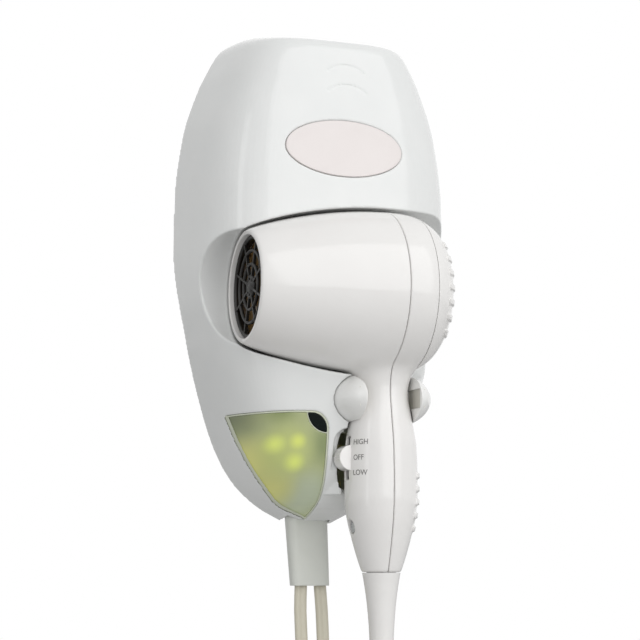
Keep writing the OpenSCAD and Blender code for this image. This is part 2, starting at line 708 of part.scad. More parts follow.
module rear_shell() {
    color("white") difference() {
        union() {
            difference() {
                handset_hollow() grip_rib_rows();
                front_side();
                behind_seam(cap_seam);
            }
            intersection() {
                handle(0.5);
                union() {
                    translate([handle_x + 0.1 - 4, -axis_depth, screw_z]) rotate([0, 90, 0])
                        cylinder(r = screw_recess_r + 0.4, h = 2 * grip_r);
                    for (y = [-1, 1], z = [board_low_z, board_low_z + 26])
                        translate([board_x + 1.6, -axis_depth + y * 6 - 1, z]) cube([grip_r, 2, 4]);
                }
            }
        }
        translate([handle_x - 5, -axis_depth, screw_z]) rotate([0, 90, 0])
            cylinder(r = screw_d / 2 + thread_gap, h = 14);
    }
}
module handle_screw() {
    color("lightsteelblue") translate([handle_x - grip_r + 5 - screw_head_t - skin, -axis_depth, screw_z])
        rotate([0, 90, 0]) screw(grip_r + 1);
}

cap_lip = 1.2;
rib_at = [for (k = [-3:3]) 7.2 * k];
module intake_cap() {
    // A dome with level bars across its end, open between them, that plugs into the rear shell.
    color("white") along_barrel() union() {
        difference() {
            rotate_extrude() polygon(concat([[0, cap_seam + 0.1], [back_r(cap_seam), cap_seam + 0.1]],
                [for (p = barrel_line) if (p[1] > cap_seam + 0.2) p], [[0, rear_len]]));
            rotate_extrude() polygon(concat([[0, cap_seam], [back_r(cap_seam) - shell_t, cap_seam]],
                [for (p = barrel_line) if (p[1] > cap_seam && p[1] < rear_len - 0.1)
                    [p[0] - shell_t, p[1] - 0.6]],
                [[intake_r - shell_t - 1, rear_len - shell_t], [0, rear_len - shell_t]]));
            for (k = [-3:2]) translate([7.2 * (k + 0.5), 0, rear_len])
                cube([4.2, 2 * sqrt(pow(intake_r + 6.5, 2) - pow(7.2 * (k + 0.5), 2)) - 4, 14], center = true);
        }
        for (x = rib_at) intersection() {
            translate([x, 0, rear_len - 4]) cube([1.8, 2 * intake_r + 8, 11.2], center = true);
            translate([0, 0, rear_len - 45]) sphere(r = 46.6);
            translate([0, 0, rear_len - shell_t + 0.2]) cylinder(r = intake_r + 3, h = 10);
        }
        tube(back_r(cap_seam) - shell_t - fit, back_r(cap_seam) - shell_t - 1.6, cap_seam - 3, cap_seam + 1);
    }
}
module intake_screen() {
    color("dimgray") along_barrel() difference() {
        translate([0, 0, cap_seam + 4]) cylinder(r = back_r(cap_seam + 4) - shell_t - 1.1, h = 0.8);
        for (i = [-4:4], j = [-4:4]) if (norm([i, j]) < 4.6)
            translate([5.4 * i, 5.4 * j, cap_seam + 4]) cube([4, 4, 4], center = true);
    }
}

module outlet_grille() {
    rings = [5, 11, 17.5, mouth_r - 1.5];
    color("black") along_barrel() translate([0, 0, grille_s]) {
        for (r = rings) tube(r + 0.7, r - 0.7, 0, grille_t);
        tube(mouth_r - 0.15, mouth_r - 1.6, 0, grille_t + grille_rim);
        for (k = [0:7]) rotate([0, 0, 22.5 + 45 * k]) translate([5, -0.6, 0.2])
            cube([mouth_r - 6.3, 1.2, grille_t - 0.4]);
    }
}
module mica_sleeve() {
    color("tan") along_barrel() tube(sleeve_r, sleeve_r - 0.8, sleeve_s, sleeve_s + heater_len);
}
ring_s = [for (k = [0:heater_rings - 1]) sleeve_s + 4 + k * (heater_len - 8) / (heater_rings - 1)];
coil_r = sleeve_r - 5;
module mica_cross() {
    color("tan") along_barrel() difference() {
        for (a = [0, 90]) rotate([0, 0, a]) translate([-sleeve_r + 0.9, -mica_t / 2, sleeve_s + 1])
            cube([2 * (sleeve_r - 0.9), mica_t, heater_len - 2]);
        for (s = ring_s) tube(coil_r + 0.8, coil_r - 0.8, s - 0.8, s + 0.8);
    }
}
module heater_coils() {
    color("silver") along_barrel() for (s = ring_s) translate([0, 0, s])
        rotate_extrude() translate([coil_r, 0]) circle(r = heater_wire_r, $fn = 16);
}
module thermostat() {
    color("khaki") along_barrel() translate([7, mica_t / 2 + 0.05, sleeve_s + heater_len - 14])
        cube([5, 3, 9]);
}
module thermal_fuse() {
    color("silver") along_barrel() translate([-8, mica_t / 2 + 1.85, sleeve_s + heater_len - 16])
        cylinder(r = 1.8, h = 11);
}

module motor_can() {
    lug = heater_back_gap - 0.3;
    color("silver") along_barrel() {
        translate([0, 0, motor_s]) difference() {
            union() {
                cylinder(r = motor_r, h = motor_len);
                translate([0, 0, motor_len]) cylinder(r = 3.4, h = 1.2);
            }
            translate([0, 0, motor_len - 8]) cylinder(r = shaft_r + 0.05, h = 12);
        }
        for (x = [-1, 1]) translate([x * 7 - 1, -0.3, motor_s - lug]) cube([2, 0.6, lug + skin]);
    }
}
carrier_s = motor_s + 3;
carrier_r = front_r(carrier_s) - shell_t - 0.25;
module motor_carrier() {
    color("whitesmoke") along_barrel() {
        tube(carrier_r, carrier_r - 1.2, carrier_s, motor_s + motor_len - 2);
        tube(motor_r + 1.5, motor_r + 0.1, carrier_s, carrier_s + 16);
        for (k = [0:guide_vanes - 1]) rotate([0, 0, 360 * k / guide_vanes])
            translate([(motor_r + 1.4 + carrier_r - 1.1) / 2, 0, carrier_s + 8]) rotate([18, 0, 0])
                cube([carrier_r - motor_r - 2.1, 1, 14], center = true);
    }
}
fan_s = motor_s + motor_len + 2.2;
module motor_shaft() {
    color("silver") along_barrel() translate([0, 0, motor_s + motor_len - 7])
        cylinder(r = shaft_r, h = 7 + 2.2 + fan_w);
}
module fan_impeller() {
    color("lightgray") along_barrel() translate([0, 0, fan_s]) difference() {
        union() {
            cylinder(r = fan_hub_r, h = fan_w);
            intersection() {
                for (k = [0:fan_blades - 1]) rotate([0, 0, 360 * k / fan_blades])
                    translate([fan_r / 2 + 5, 0, fan_w / 2]) rotate([-52, 0, 0])
                        cube([fan_r, 1.2, fan_w * 1.6], center = true);
                cylinder(r = fan_r, h = fan_w);
            }
        }
        difference() {
            translate([0, 0, -skin]) cylinder(r = fan_hub_r - 1.5, h = fan_w - 1.6);
            cylinder(r = 3, h = fan_w);
        }
        translate([0, 0, -1]) cylinder(r = shaft_r + 0.01, h = fan_w + 2);
    }
}

switch_x = handle_x - 12.8;
module switch_body() {
    color("dimgray") difference() {
        translate([switch_x, -axis_depth - 6, slider_z - slot_z / 2 - 3]) cube([12, 12, slot_z + 6]);
        translate([switch_x - 1, -axis_depth - 2.2, slider_z - slot_z / 2]) cube([5.5, 4.4, slot_z]);
    }
}
module rectifier_board() {
    color("darkgreen") translate([board_x, -axis_depth - 7, board_low_z]) cube([1.6, 14, 30]);
    color("black") for (k = [0:3]) translate([board_x + 1.6, -axis_depth - 3, board_low_z + 5.5 + 5.2 * k])
        cube([2.6, 6, 3]);
}
module power_slider() {
    color("white") difference() {
        union() {
            intersection() {
                translate([knob_face_x + knob_r, -axis_depth, slider_z]) rotate([90, 0, 0])
                    cylinder(r = knob_r, h = knob_w, center = true);
                translate([knob_face_x - 1, -axis_depth - far / 2, slider_z - far / 2])
                    cube([knob_out + 0.7, far, far]);
            }
            translate([knob_face_x + 4, -axis_depth - 1.8, slider_z - 2.6])
                cube([switch_x - knob_face_x, 3.6, 5.2]);
        }
        for (k = [-1, 0, 1]) translate([knob_face_x - 0.9, -axis_depth, slider_z + 2.2 * k]) rotate([90, 0, 0])
            cylinder(r = 1.1, h = knob_w + 1, center = true);
    }
}

module bend_sleeve() {
    color("white") at_handle() rotate_extrude() polygon(concat(
        [[0, sleeve_end_z], [5.4, sleeve_end_z]],
        [for (t = [0:0.1:1]) [5.6 + (tip_r - 5.8) * pow(t, 2.6), sleeve_end_z + 0.4 + (sleeve_len - 0.5) * t]],
        [[tip_r - shell_t - 0.3, handle_end_z - 0.1], [tip_r - shell_t - 0.3, handle_end_z + 5],
            [0, handle_end_z + 5]]));
}

// ---- cords --------------------------------------------------------------------------------------------------

cord_r = 3.2;                    // half the width of the flat cord
cord_thin = 1.8;                   // half its thickness

// Points on a smooth line through the route, as many between two of them as steps.
function knot(p, i) = p[min(max(i, 0), len(p) - 1)];
function spot(p, i, t) = let (a = knot(p, i - 1), b = p[i], c = knot(p, i + 1), d = knot(p, i + 2))
    0.5 * ((2 * b) + (c - a) * t + (2 * a - 5 * b + 4 * c - d) * t * t + (3 * b - a - 3 * c + d) * t * t * t);
function line_of(p, steps) = concat([for (i = [0:len(p) - 2], k = [0:steps - 1]) spot(p, i, k / steps)],
    [p[len(p) - 1]]);
function unit(v) = v / norm(v);
// A tube of the cord's two half widths along a route, turned so that its wide side faces the given way.
module cord(route, wide, steps = 2, sides = 10) {
    line = line_of(route, steps);
    n = len(line) - 1;
    loft([for (i = [0:n]) let (t = unit(line[min(i + 1, n)] - line[max(i - 1, 0)]),
            a = unit(wide - t * (wide * t)), b = cross(t, a))
        [for (j = [0:sides - 1])
            line[i] + a * cord_r * cos(360 * j / sides) + b * cord_thin * sin(360 * j / sides)]]);
}

strand_x = 5.6;                  // half the distance between the two strands under the gland
gland_face = [gland_x, -gland_d - gland_lean, gland_end_z];
hank_mid = [-56, -285];          // y and z of the middle of a hank
hank_r = 39.5;                   // outer radius of its round ends
hank_half = 45;                  // half the length of its straight runs
supply_x = gland_x - strand_x;
handset_x = gland_x + strand_x;
supply_turns = 19;               // thickness of the bundle of turns
handset_turns = 14.5;

supply_route = [[supply_x + 0.6, -14, -156], [supply_x, -15, -168], [supply_x, -17, -184],
    [supply_x, -18, -200],
    [supply_x, -18, -215], [supply_x, -18, -240]];
tail_route = [[supply_x, -36, -325], [supply_x - 1, -36, -335], [supply_x - 6, -36, -347],
    [supply_x - 10, -36, -359], [supply_x - 11, -36, -372], [supply_x - 11, -36, -387]];
handset_route = [[handset_x - 0.6, -14, -156], [handset_x, -15, -168], [handset_x, -17, -184],
    [handset_x, -18, -200],
    [handset_x, -18, -215], [handset_x, -18, -240]];
rise_route = [[handset_x, -32, -325], [handset_x + 1, -32, -334], [handset_x + 6, -32, -346],
    [handset_x + 9, -32, -358], [handset_x + 12, -33, -372], [handset_x + 20, -35, -386],
    [handset_x + 33, -38, -393], [handset_x + 46, -41, -387], [handset_x + 54, -44, -372],
    [handset_x + 56, -46, -350], [handset_x + 54, -48, -320], [handset_x + 46, -49, -290],
    [handset_x + 33, -50, -262], [handset_x + 23, -50, -238], [21, -50, -222], [handle_x, -50, -210],
    [handle_x, -50, sleeve_end_z - 0.1]];

module supply_cord() {
    color("ivory") cord(supply_route, [1, 0, 0]);
}
module handset_cord() {
    color("ivory") cord(handset_route, [1, 0, 0]);
}
module supply_tail() {
    color("ivory") cord(tail_route, [0.2, 1, 0]);
}
module handset_cord_rise() {
    color("ivory") cord(rise_route, [0.2, 1, 0]);
}
// A tied hank: turns of flat cord side by side round two ends, in the plane across the wall.
module hank(x, turns) {
    difference() {
        translate([x, hank_mid[0], hank_mid[1]]) rotate([90, 0, 90]) linear_extrude(2 * cord_r, center = true)
            difference() {
                long_ring(hank_r);
                long_ring(hank_r - turns);
            }
        translate([x - cord_r - 1, hank_mid[0] + hank_r - 3, hank_mid[1] + hank_half])
            cube([2 * cord_r + 2, 10, hank_r + 1]);
    }
}
module long_ring(r) {
    union() {
        for (s = [-1, 1]) translate([0, s * hank_half]) circle(r = r);
        square([2 * r, 2 * hank_half], center = true);
    }
}
module ties(x, turns) {
    for (s = [-1, 1]) translate([x, hank_mid[0] + s * (hank_r - turns / 2), hank_mid[1]]) difference() {
        cube([2 * cord_r + 2.4, turns + 2.4, 5], center = true);
        cube([2 * cord_r + 0.4, turns + 0.4, 6], center = true);
    }
}
module supply_hank() {
    color("ivory") hank(supply_x, supply_turns);
}
module handset_hank() {
    color("ivory") hank(handset_x, handset_turns);
}
module supply_ties() {
    color("white") ties(supply_x, supply_turns);
}
module handset_ties() {
    color("white") ties(handset_x, handset_turns);
}

plug_size = [44, 27, 60];
plug_top_z = -387;
plug_at = [supply_x - 11, -36, plug_top_z - 12 - plug_size[2] / 2];
button_travel = 1.4;
button_size = [9, 6];
module plug_body() {
    color("ivory") translate(plug_at) difference() {
        union() {
            rotate([90, 0, 0]) linear_extrude(plug_size[1], center = true)
                rounded(plug_size[0], plug_size[2], 7);
            translate([0, 0, plug_size[2] / 2 - skin]) linear_extrude(12 + skin) rounded(13, 10, 4);
        }
        for (z = [-1, 1]) translate([0, -plug_size[1] / 2 + 2, z * 9]) button_hole();
    }
}
module button_hole() {
    cube([button_size[0] + 0.6, 8, button_size[1] + 0.6], center = true);
}
module plug_blades() {
    color("gold") translate(plug_at + [0, plug_size[1] / 2, -8]) for (x = [-1, 1])
        translate([x * 6.35 - 0.75, 0, -3.2]) difference() {
            cube([1.5, 17, 6.4]);
            translate([-1, 12.5, 3.2]) rotate([0, 90, 0]) cylinder(r = 1.6, h = 4);
        }
}
module plug_button(z) {
    translate(plug_at + [0, -plug_size[1] / 2 - 1.5, z - button_size[1] / 2])
        translate([-button_size[0] / 2, 0, 0]) cube([button_size[0], 5.5, button_size[1]]);
}
module test_button() {
    color("black") plug_button(-9);
}
module reset_button() {
    color("firebrick") plug_button(9);
}

back_plate();
front_cover();
name_plate();
night_light_window();
sensor_window();
night_light_board();
night_light_leds();
photocell();
cradle_fork();
snap_pads();
cradle_screws();
cover_screws();
terminal_block();
cord_clamp();
clamp_screws();
cord_gland();
front_shell();
rear_shell();
outlet_grille();
mica_sleeve();
mica_cross();
heater_coils();
thermostat();
thermal_fuse();
motor_can();
motor_carrier();
rectifier_board();
switch_body();
handle_screw();
bend_sleeve();
motor_shaft();
fan_impeller();
intake_cap();
intake_screen();
power_slider();
supply_cord();
supply_hank();
supply_tail();
supply_ties();
plug_body();
plug_blades();
test_button();
reset_button();
handset_cord();
handset_hank();
handset_cord_rise();
handset_ties();
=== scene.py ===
from math import cos, pi, radians, sin, sqrt
import bmesh
import bpy
from mathutils import Matrix, Vector


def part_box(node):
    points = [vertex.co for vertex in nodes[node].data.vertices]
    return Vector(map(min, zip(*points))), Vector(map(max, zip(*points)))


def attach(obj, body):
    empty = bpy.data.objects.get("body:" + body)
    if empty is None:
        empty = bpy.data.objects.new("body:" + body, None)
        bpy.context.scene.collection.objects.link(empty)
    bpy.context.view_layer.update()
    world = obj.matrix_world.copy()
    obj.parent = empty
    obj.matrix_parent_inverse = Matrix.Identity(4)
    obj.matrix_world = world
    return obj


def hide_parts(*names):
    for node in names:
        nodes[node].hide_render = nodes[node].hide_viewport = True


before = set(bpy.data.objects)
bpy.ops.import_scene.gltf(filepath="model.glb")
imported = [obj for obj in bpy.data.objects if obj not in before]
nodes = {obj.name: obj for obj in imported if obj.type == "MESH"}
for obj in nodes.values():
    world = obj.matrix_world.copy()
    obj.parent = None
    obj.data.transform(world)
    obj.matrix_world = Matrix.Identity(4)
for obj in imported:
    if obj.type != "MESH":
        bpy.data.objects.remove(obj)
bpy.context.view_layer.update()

MM = 0.001

# ---- camera ----------------------------------------------
# A long lens, a little left of the dryer and below its middle, that looks slightly up.
def linked(name, data):
    """A new object in the scene, at the origin."""
    made = bpy.data.objects.new(name, data)
    bpy.context.scene.collection.objects.link(made)
    return made


cam_yaw, cam_pitch = radians(20), radians(7.82)
cam_place = (-0.30997, -0.87197, -0.1483)
camera_data = bpy.data.cameras.new("studio_camera")
camera_data.lens, camera_data.sensor_width, camera_data.clip_start = 102.375, 36, 0.01
camera = linked("studio_camera", camera_data)
camera.location = cam_place
looking = Vector((sin(cam_yaw) * cos(cam_pitch), cos(cam_yaw) * cos(cam_pitch), sin(cam_pitch)))
camera.rotation_euler = looking.to_track_quat("-Z", "Y").to_euler()
bpy.context.scene.camera = camera
bpy.context.scene.view_settings.view_transform = "Standard"


# ---- cords -----------------------------------------------
# Two flat twin-core cords in ivory PVC leave the gland side by side. The left one runs through a tied hank
# to the mains plug, the right one through a second hank and up into the bend sleeve under the handle.
def as_object(name, bm):
    """Ends a bmesh as an object, with its faces turned outwards."""
    bmesh.ops.recalc_face_normals(bm, faces=bm.faces)
    mesh = bpy.data.meshes.new(name)
    bm.to_mesh(mesh)
    bm.free()
    return linked(name, mesh)


def fitted(piece, name, body, slot, *stands_for, angle=50):
    """Names and shades a finished piece, and sets it on its body in place of CAD nodes."""
    piece.name = piece.data.name = name
    piece.data.shade_smooth()
    if angle:
        piece.data.set_sharp_from_angle(angle=radians(angle))
    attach(piece, body)
    if stands_for:
        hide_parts(*stands_for)
    return piece


def srgb(r, g, b):
    """A linear colour from the 0 to 255 values of a colour card."""
    return tuple((v / 255 / 12.92) if v <= 10 else ((v / 255 + 0.055) / 1.055) ** 2.4 for v in (r, g, b))


def put(node, **values):
    """Sets sockets of a node by name, with _ for a space."""
    for socket, value in values.items():
        node.inputs[socket.replace("_", " ")].default_value = value


def shader_group(name, *sockets):
    """A new node group, its two ends, and a node that multiplies the place in object space."""
    group = bpy.data.node_groups.new(name, "ShaderNodeTree")
    for socket, way, kind in sockets:
        group.interface.new_socket(socket, in_out=way, socket_type="NodeSocket" + kind)
    given, out = group.nodes.new("NodeGroupInput"), group.nodes.new("NodeGroupOutput")
    where, scaled = group.nodes.new("ShaderNodeTexCoord"), group.nodes.new("ShaderNodeVectorMath")
    scaled.operation = "MULTIPLY"
    group.links.new(where.outputs["Object"], scaled.inputs[0])
    return group, given, out, scaled


def surface_group():
    """The slow mottle and fine grain that every moulded, rolled or drawn surface has."""
    group, given, out, wide = shader_group(
        "surface_grain", ("Mottle Scale", "INPUT", "Float"), ("Grain Scale", "INPUT", "Float"),
        ("Stretch", "INPUT", "Vector"), ("Mottle", "OUTPUT", "Float"), ("Grain", "OUTPUT", "Float"))
    links = group.links
    links.new(given.outputs["Stretch"], wide.inputs[1])
    for scale, detail in (("Mottle Scale", 3), ("Grain Scale", 2)):
        noise = group.nodes.new("ShaderNodeTexNoise")
        put(noise, Detail=detail)
        links.new(wide.outputs[0], noise.inputs["Vector"])
        links.new(given.outputs[scale], noise.inputs["Scale"])
        links.new(noise.outputs["Fac"], out.inputs[scale.split()[0]])
    return group


surface_grain = surface_group()


def finish(name, dark, light, rough, depth=0.02, mottle=60, grain=900, stretch=(1, 1, 1), **sockets):
    """A finish between two shades, with a range of roughness and a fine relief in millimetres."""
    mat = bpy.data.materials.new(name)
    mat.use_nodes = True
    made, links = mat.node_tree.nodes, mat.node_tree.links
    shader = made["Principled BSDF"]
    put(shader, **sockets)
    skin = made.new("ShaderNodeGroup")
    skin.node_tree = surface_grain
    put(skin, Mottle_Scale=mottle, Grain_Scale=grain, Stretch=stretch)
    mix = made.new("ShaderNodeMix")
    mix.name, mix.data_type = "shades", "RGBA"
    mix.inputs[6].default_value, mix.inputs[7].default_value = (*srgb(*dark), 1), (*srgb(*light), 1)
    links.new(skin.outputs["Mottle"], mix.inputs[0])
    links.new(mix.outputs[2], shader.inputs["Base Color"])
    gloss = made.new("ShaderNodeMapRange")
    put(gloss, From_Min=0.3, From_Max=0.7, To_Min=rough[0], To_Max=rough[1])
    links.new(skin.outputs["Grain"], gloss.inputs["Value"])
    links.new(gloss.outputs[0], shader.inputs["Roughness"])
    relief = made.new("ShaderNodeBump")
    put(relief, Strength=0.5, Distance=depth * MM)
    links.new(skin.outputs["Grain"], relief.inputs["Height"])
    links.new(relief.outputs[0], shader.inputs["Normal"])
    return mat


def dress(mat, *pieces):
    """Gives pieces, or carried-over nodes by name, their finish."""
    for piece in pieces:
        piece = nodes[piece] if isinstance(piece, str) else piece
        if not piece.material_slots:
            piece.data.materials.append(mat)
        for held in piece.material_slots:
            held.material = mat


def along_route(points, steps=2):
    """Points on a smooth line through a route given in millimetres, in metres."""
    line = []
    for i in range(len(points) - 1):
        a, b, c, d = [Vector(points[min(max(j, 0), len(points) - 1)]) for j in (i - 1, i, i + 1, i + 2)]
        for k in range(steps):
            t = k / steps
            line.append(0.5 * MM * (2 * b + (c - a) * t + (2 * a - 5 * b + 4 * c - d) * t * t
                                    + (3 * b - a - 3 * c + d) * t ** 3))
    return line + [MM * Vector(points[-1])]


cord_pair_x, cord_off, cord_width = -2.8, 5.6, 6.4   # middle between the cords, each one's offset and width
hank_y, hank_z, hank_straight = -56, -285, 45        # middle of a hank, and half its straight runs


def out_of_gland(x, lean):
    """A cord's way from the gland down to its hank. It starts a little off its own line."""
    return [(x + lean, -14, -156), (x, -15, -168), (x, -17, -184), (x, -18, -200), (x, -18, -215)]


def hank_route(x, first_y, last_y, turns):
    """A cord wound round two ends in the plane across the wall: in at the top, out at the bottom."""
    route, step = [], (last_y - first_y) / (2 * turns)
    radius = first_y - hank_y
    for half in range(2 * turns + 1):
        side, r = (1 if half % 2 == 0 else -1), radius + step * half
        for k in range(5):
            route.append((x, hank_y + side * r, hank_z + side * hank_straight * (1 - k / 2)))
        if half < 2 * turns:
            for k in range(1, 12):
                a, rr = pi * k / 12, r + step * k / 12
                route.append((x, hank_y + side * rr * cos(a),
                              hank_z - side * hank_straight - side * rr * sin(a)))
    return route[:-1]


def lofted(name, rings):
    """A closed solid from ring to ring: the first outline is extruded again and again, each copy placed."""
    bm = bmesh.new()
    ring = [bm.verts.new(MM * Vector(p)) for p in rings[0]]
    bm.faces.new(ring)
    for places in rings[1:]:
        edges = [bm.edges.get((a, b)) for a, b in zip(ring, ring[1:] + ring[:1])]
        made = set(bmesh.ops.extrude_edge_only(bm, edges=edges)["geom"])
        ring = [next(e.other_vert(v) for e in v.link_edges if e.other_vert(v) in made) for v in ring]
        for v, p in zip(ring, places):
            v.co = MM * Vector(p)
    bm.faces.new(ring)
    return as_object(name, bm)


def flat_cord(name, line, turn_at):
    """Sweeps the twin-core outline along a line. After a length, its wide side turns from level to deep."""
    lobe_x, lobe_r = 1.42, 1.78
    turn_over = 0.03            # like the line and turn_at, in metres
    outline = [Vector((side * (lobe_x + lobe_r * cos(a)), side * lobe_r * sin(a), 0))
               for side in (1, -1) for a in [radians(q) for q in range(-128, 129, 32)]]
    rings, gone = [], 0.0
    for i, p in enumerate(line):
        gone += (p - line[i - 1]).length if i else 0
        t = (line[min(i + 1, len(line) - 1)] - line[max(i - 1, 0)]).normalized()
        share = min(max((gone - turn_at) / turn_over, 0), 1)
        wide = Vector((1, 0, 0)).lerp(Vector((0.2, 1, 0)), share * share * (3 - 2 * share))
        a = (wide - t * wide.dot(t)).normalized()
        across = Matrix((a, t.cross(a), t)).transposed()
        rings.append([p / MM + across @ q for q in outline])
    return fitted(lofted(name, rings), name, "base", "cord_ivory")


def length_of(line):
    return sum((b - a).length for a, b in zip(line, line[1:]))


supply_x, handset_x = cord_pair_x - cord_off, cord_pair_x + cord_off
to_plug = ((0, -36, -325), (-1, -36, -335), (-6, -36, -347), (-10, -36, -359), (-11, -36, -372),
           (-11, -36, -387))
to_handle = ((0, -32, -325), (1, -32, -334), (6, -32, -346), (9, -32, -358), (12, -33, -372),
             (20, -35, -386), (33, -38, -393), (46, -41, -387), (54, -44, -372), (56, -46, -350),
             (54, -48, -320), (46, -49, -290), (33, -50, -262), (23, -50, -238))
supply_line = along_route(out_of_gland(supply_x, 0.6) + hank_route(supply_x, -18, -36, 4)
                          + [(supply_x + x, y, z) for x, y, z in to_plug])
handset_line = along_route(out_of_gland(handset_x, -0.6) + hank_route(handset_x, -18, -32, 3)
                           + [(handset_x + x, y, z) for x, y, z in to_handle]
                           + [(21, -50, -222), (20.6, -50, -210), (20.6, -50, -199.6)])
supply_cord = flat_cord("supply_flex", supply_line, length_of(supply_line) - 0.075)
handset_cord = flat_cord("handset_flex", handset_line, length_of(handset_line) - 0.42)
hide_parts("supply_cord", "supply_hank", "supply_tail")
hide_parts("handset_cord", "handset_hank", "handset_cord_rise")
ivory_pvc = finish("ivory_pvc", (198, 193, 174), (212, 207, 190), (0.34, 0.48), 0.03, 90, 1400)
dress(ivory_pvc, supply_cord, handset_cord)
dress(finish("tie_plastic", (222, 222, 220), (236, 236, 234), (0.35, 0.45)), "supply_ties", "handset_ties")


# ---- the cover of the wall base --------------------------
# A glossy grey-white ABS moulding, 2.4 mm thick, shaped like an egg cut off flat at the wall, with a walled
# trough for the handset, openings for night light, slider and cradle, and a shallow oval seat for the name
# plate. Screws through the back plate hold it from behind.
half_w, half_h, base_depth, cover_wall, plate_t = 71.5, 125, 57, 2.4, 3
corner_power, side_lean, recess_gap = 4, 0.24, 1.4
past_cover = 70                 # a depth in front of the whole cover, where the cuts through it end
# level from -1 to 1, share of half_w, share of base_depth
egg_form = [(-1, 0.17, 0.20), (-0.93, 0.39, 0.55), (-0.83, 0.57, 0.76), (-0.71, 0.688, 0.86),
            (-0.55, 0.785, 0.93), (-0.29, 0.896, 0.98), (0.09, 0.996, 1), (0.30, 0.99, 1),
            (0.55, 0.937, 0.98), (0.75, 0.828, 0.945), (0.86, 0.735, 0.90), (0.90, 0.695, 0.83),
            (0.93, 0.65, 0.62), (0.97, 0.52, 0.28), (1, 0.30, 0.02)]


def smooth_curve(knots, u, column):
    """A curve through a column of the knots that never overshoots them."""
    i = max(k for k in range(len(knots) - 1) if k == 0 or knots[k][0] < u)
    steps = [b[0] - a[0] for a, b in zip(knots, knots[1:])]
    rises = [(b[column] - a[column]) / step for a, b, step in zip(knots, knots[1:], steps)]

    def lean(k):
        if k in (0, len(knots) - 1):
            return rises[min(k, len(rises) - 1)]
        low, high = rises[k - 1], rises[k]
        return 0 if low * high <= 0 else 2 * low * high / (low + high)

    t = min(max((u - knots[i][0]) / steps[i], 0), 1)
    q = 1 - t
    return (knots[i][column] * (1 + 2 * t) * q * q + knots[i + 1][column] * t * t * (3 - 2 * t)
            + steps[i] * t * q * (lean(i) * q - lean(i + 1) * t))


def egg_width(u, inset=0):
    return smooth_curve(egg_form, u, 1) * half_w - inset


def egg_ring(u, inset, back, turns):
    """One level of the egg, from the wall round the front and back to the wall."""
    z, w = u * (half_h - inset), egg_width(u, inset)
    d = max(smooth_curve(egg_form, u, 2) * base_depth - inset, 0.4)
    side = []
    for a in turns:
        y = d * sin(a) ** (2 / corner_power)
        x = side_lean * (d - y) + (w - side_lean * d) * max(cos(a), 0) ** (2 / corner_power)
        side.append((x, -y, z))
    ends = [(w, back, z)] if back else []
    return ends + side + [(-x, y, z) for x, y, z in side[-2::-1]] + [(-x, y, z) for x, y, z in ends]


def even_turns(count, samples=1000, w=58, d=57):
    """Angles whose points lie evenly along a level of the egg, from the side to the middle of the front."""
    fine = [pi / 4 * (k / samples) ** 4 for k in range(samples)]
    fine += [pi / 2 - pi / 4 * (1 - k / samples) ** 4 for k in range(samples + 1)]
    places = [Vector((w * max(cos(a), 0) ** 0.5, d * sin(a) ** 0.5)) for a in fine]
    run = [0.0]
    for a, b in zip(places, places[1:]):
        run.append(run[-1] + (b - a).length)
    shares = [run[-1] * i / count - 1e-9 for i in range(count + 1)]
    return [fine[next(k for k, r in enumerate(run) if r >= share)] for share in shares]


def spun(name, profile, middle, axis, out, steps=96):
    """A turned solid from places along an axis and radii, with out for where the radius points at first."""
    axis, out, middle = Vector(axis), Vector(out), Vector(middle)
    bm = bmesh.new()
    line = [bm.verts.new(MM * (middle + s * axis + r * out)) for s, r in profile]
    edges = [bm.edges.new(pair) for pair in zip(line, line[1:])]
    bmesh.ops.spin(bm, geom=line + edges, cent=MM * middle, axis=axis, angle=2 * pi, steps=steps,
                   use_merge=True)
    bmesh.ops.remove_doubles(bm, verts=bm.verts, dist=1e-6)
    return as_object(name, bm)


def slab(name, outline, d0, d1):
    """A prism along the wall's normal, from one depth to another, of an outline in x and z."""
    bm = bmesh.new()
    face = bm.faces.new([bm.verts.new(MM * Vector((x, -d0, z))) for x, z in outline])
    made = bmesh.ops.extrude_face_region(bm, geom=[face])["geom"]
    front = [v for v in made if isinstance(v, bmesh.types.BMVert)]
    bmesh.ops.translate(bm, vec=(0, -MM * (d1 - d0), 0), verts=front)
    return as_object(name, bm)


def block(name, low, high):
    """A plain box between two corners, as a tool or a stem."""
    bm = bmesh.new()
    middle, size = (Vector(low) + Vector(high)) / 2, Vector(high) - Vector(low)
    place = Matrix.Translation(MM * middle) @ Matrix.Diagonal((*(MM * size), 1))
    bmesh.ops.create_cube(bm, size=1, matrix=place)
    return as_object(name, bm)


def arc(x, z, r, start, end, count):
    """Points of an arc between two angles in degrees, in a plane."""
    turns = [radians(start + (end - start) * k / count) for k in range(count + 1)]
    return [(x + r * cos(a), z + r * sin(a)) for a in turns]


def final_mesh(piece):
    """A new mesh of an object as its modifiers or its text make it."""
    bpy.context.view_layer.update()
    return bpy.data.meshes.new_from_object(piece.evaluated_get(bpy.context.evaluated_depsgraph_get()))


def settle(piece):
    """Applies what hangs on a piece as modifiers."""
    old = piece.data
    piece.data = final_mesh(piece)
    piece.modifiers.clear()
    bpy.data.meshes.remove(old)
    return piece


def worked(piece, how, tools):
    for tool in tools:
        step = piece.modifiers.new("work", "BOOLEAN")
        step.object, step.operation, step.solver = tool, how, "MANIFOLD"
    settle(piece)
    for tool in tools:
        bpy.data.objects.remove(tool)
    return piece


def cut(piece, *tools):
    return worked(piece, "DIFFERENCE", tools)


def join(piece, *tools):
    return worked(piece, "UNION", tools)


def keep(piece, *tools):
    return worked(piece, "INTERSECT", tools)


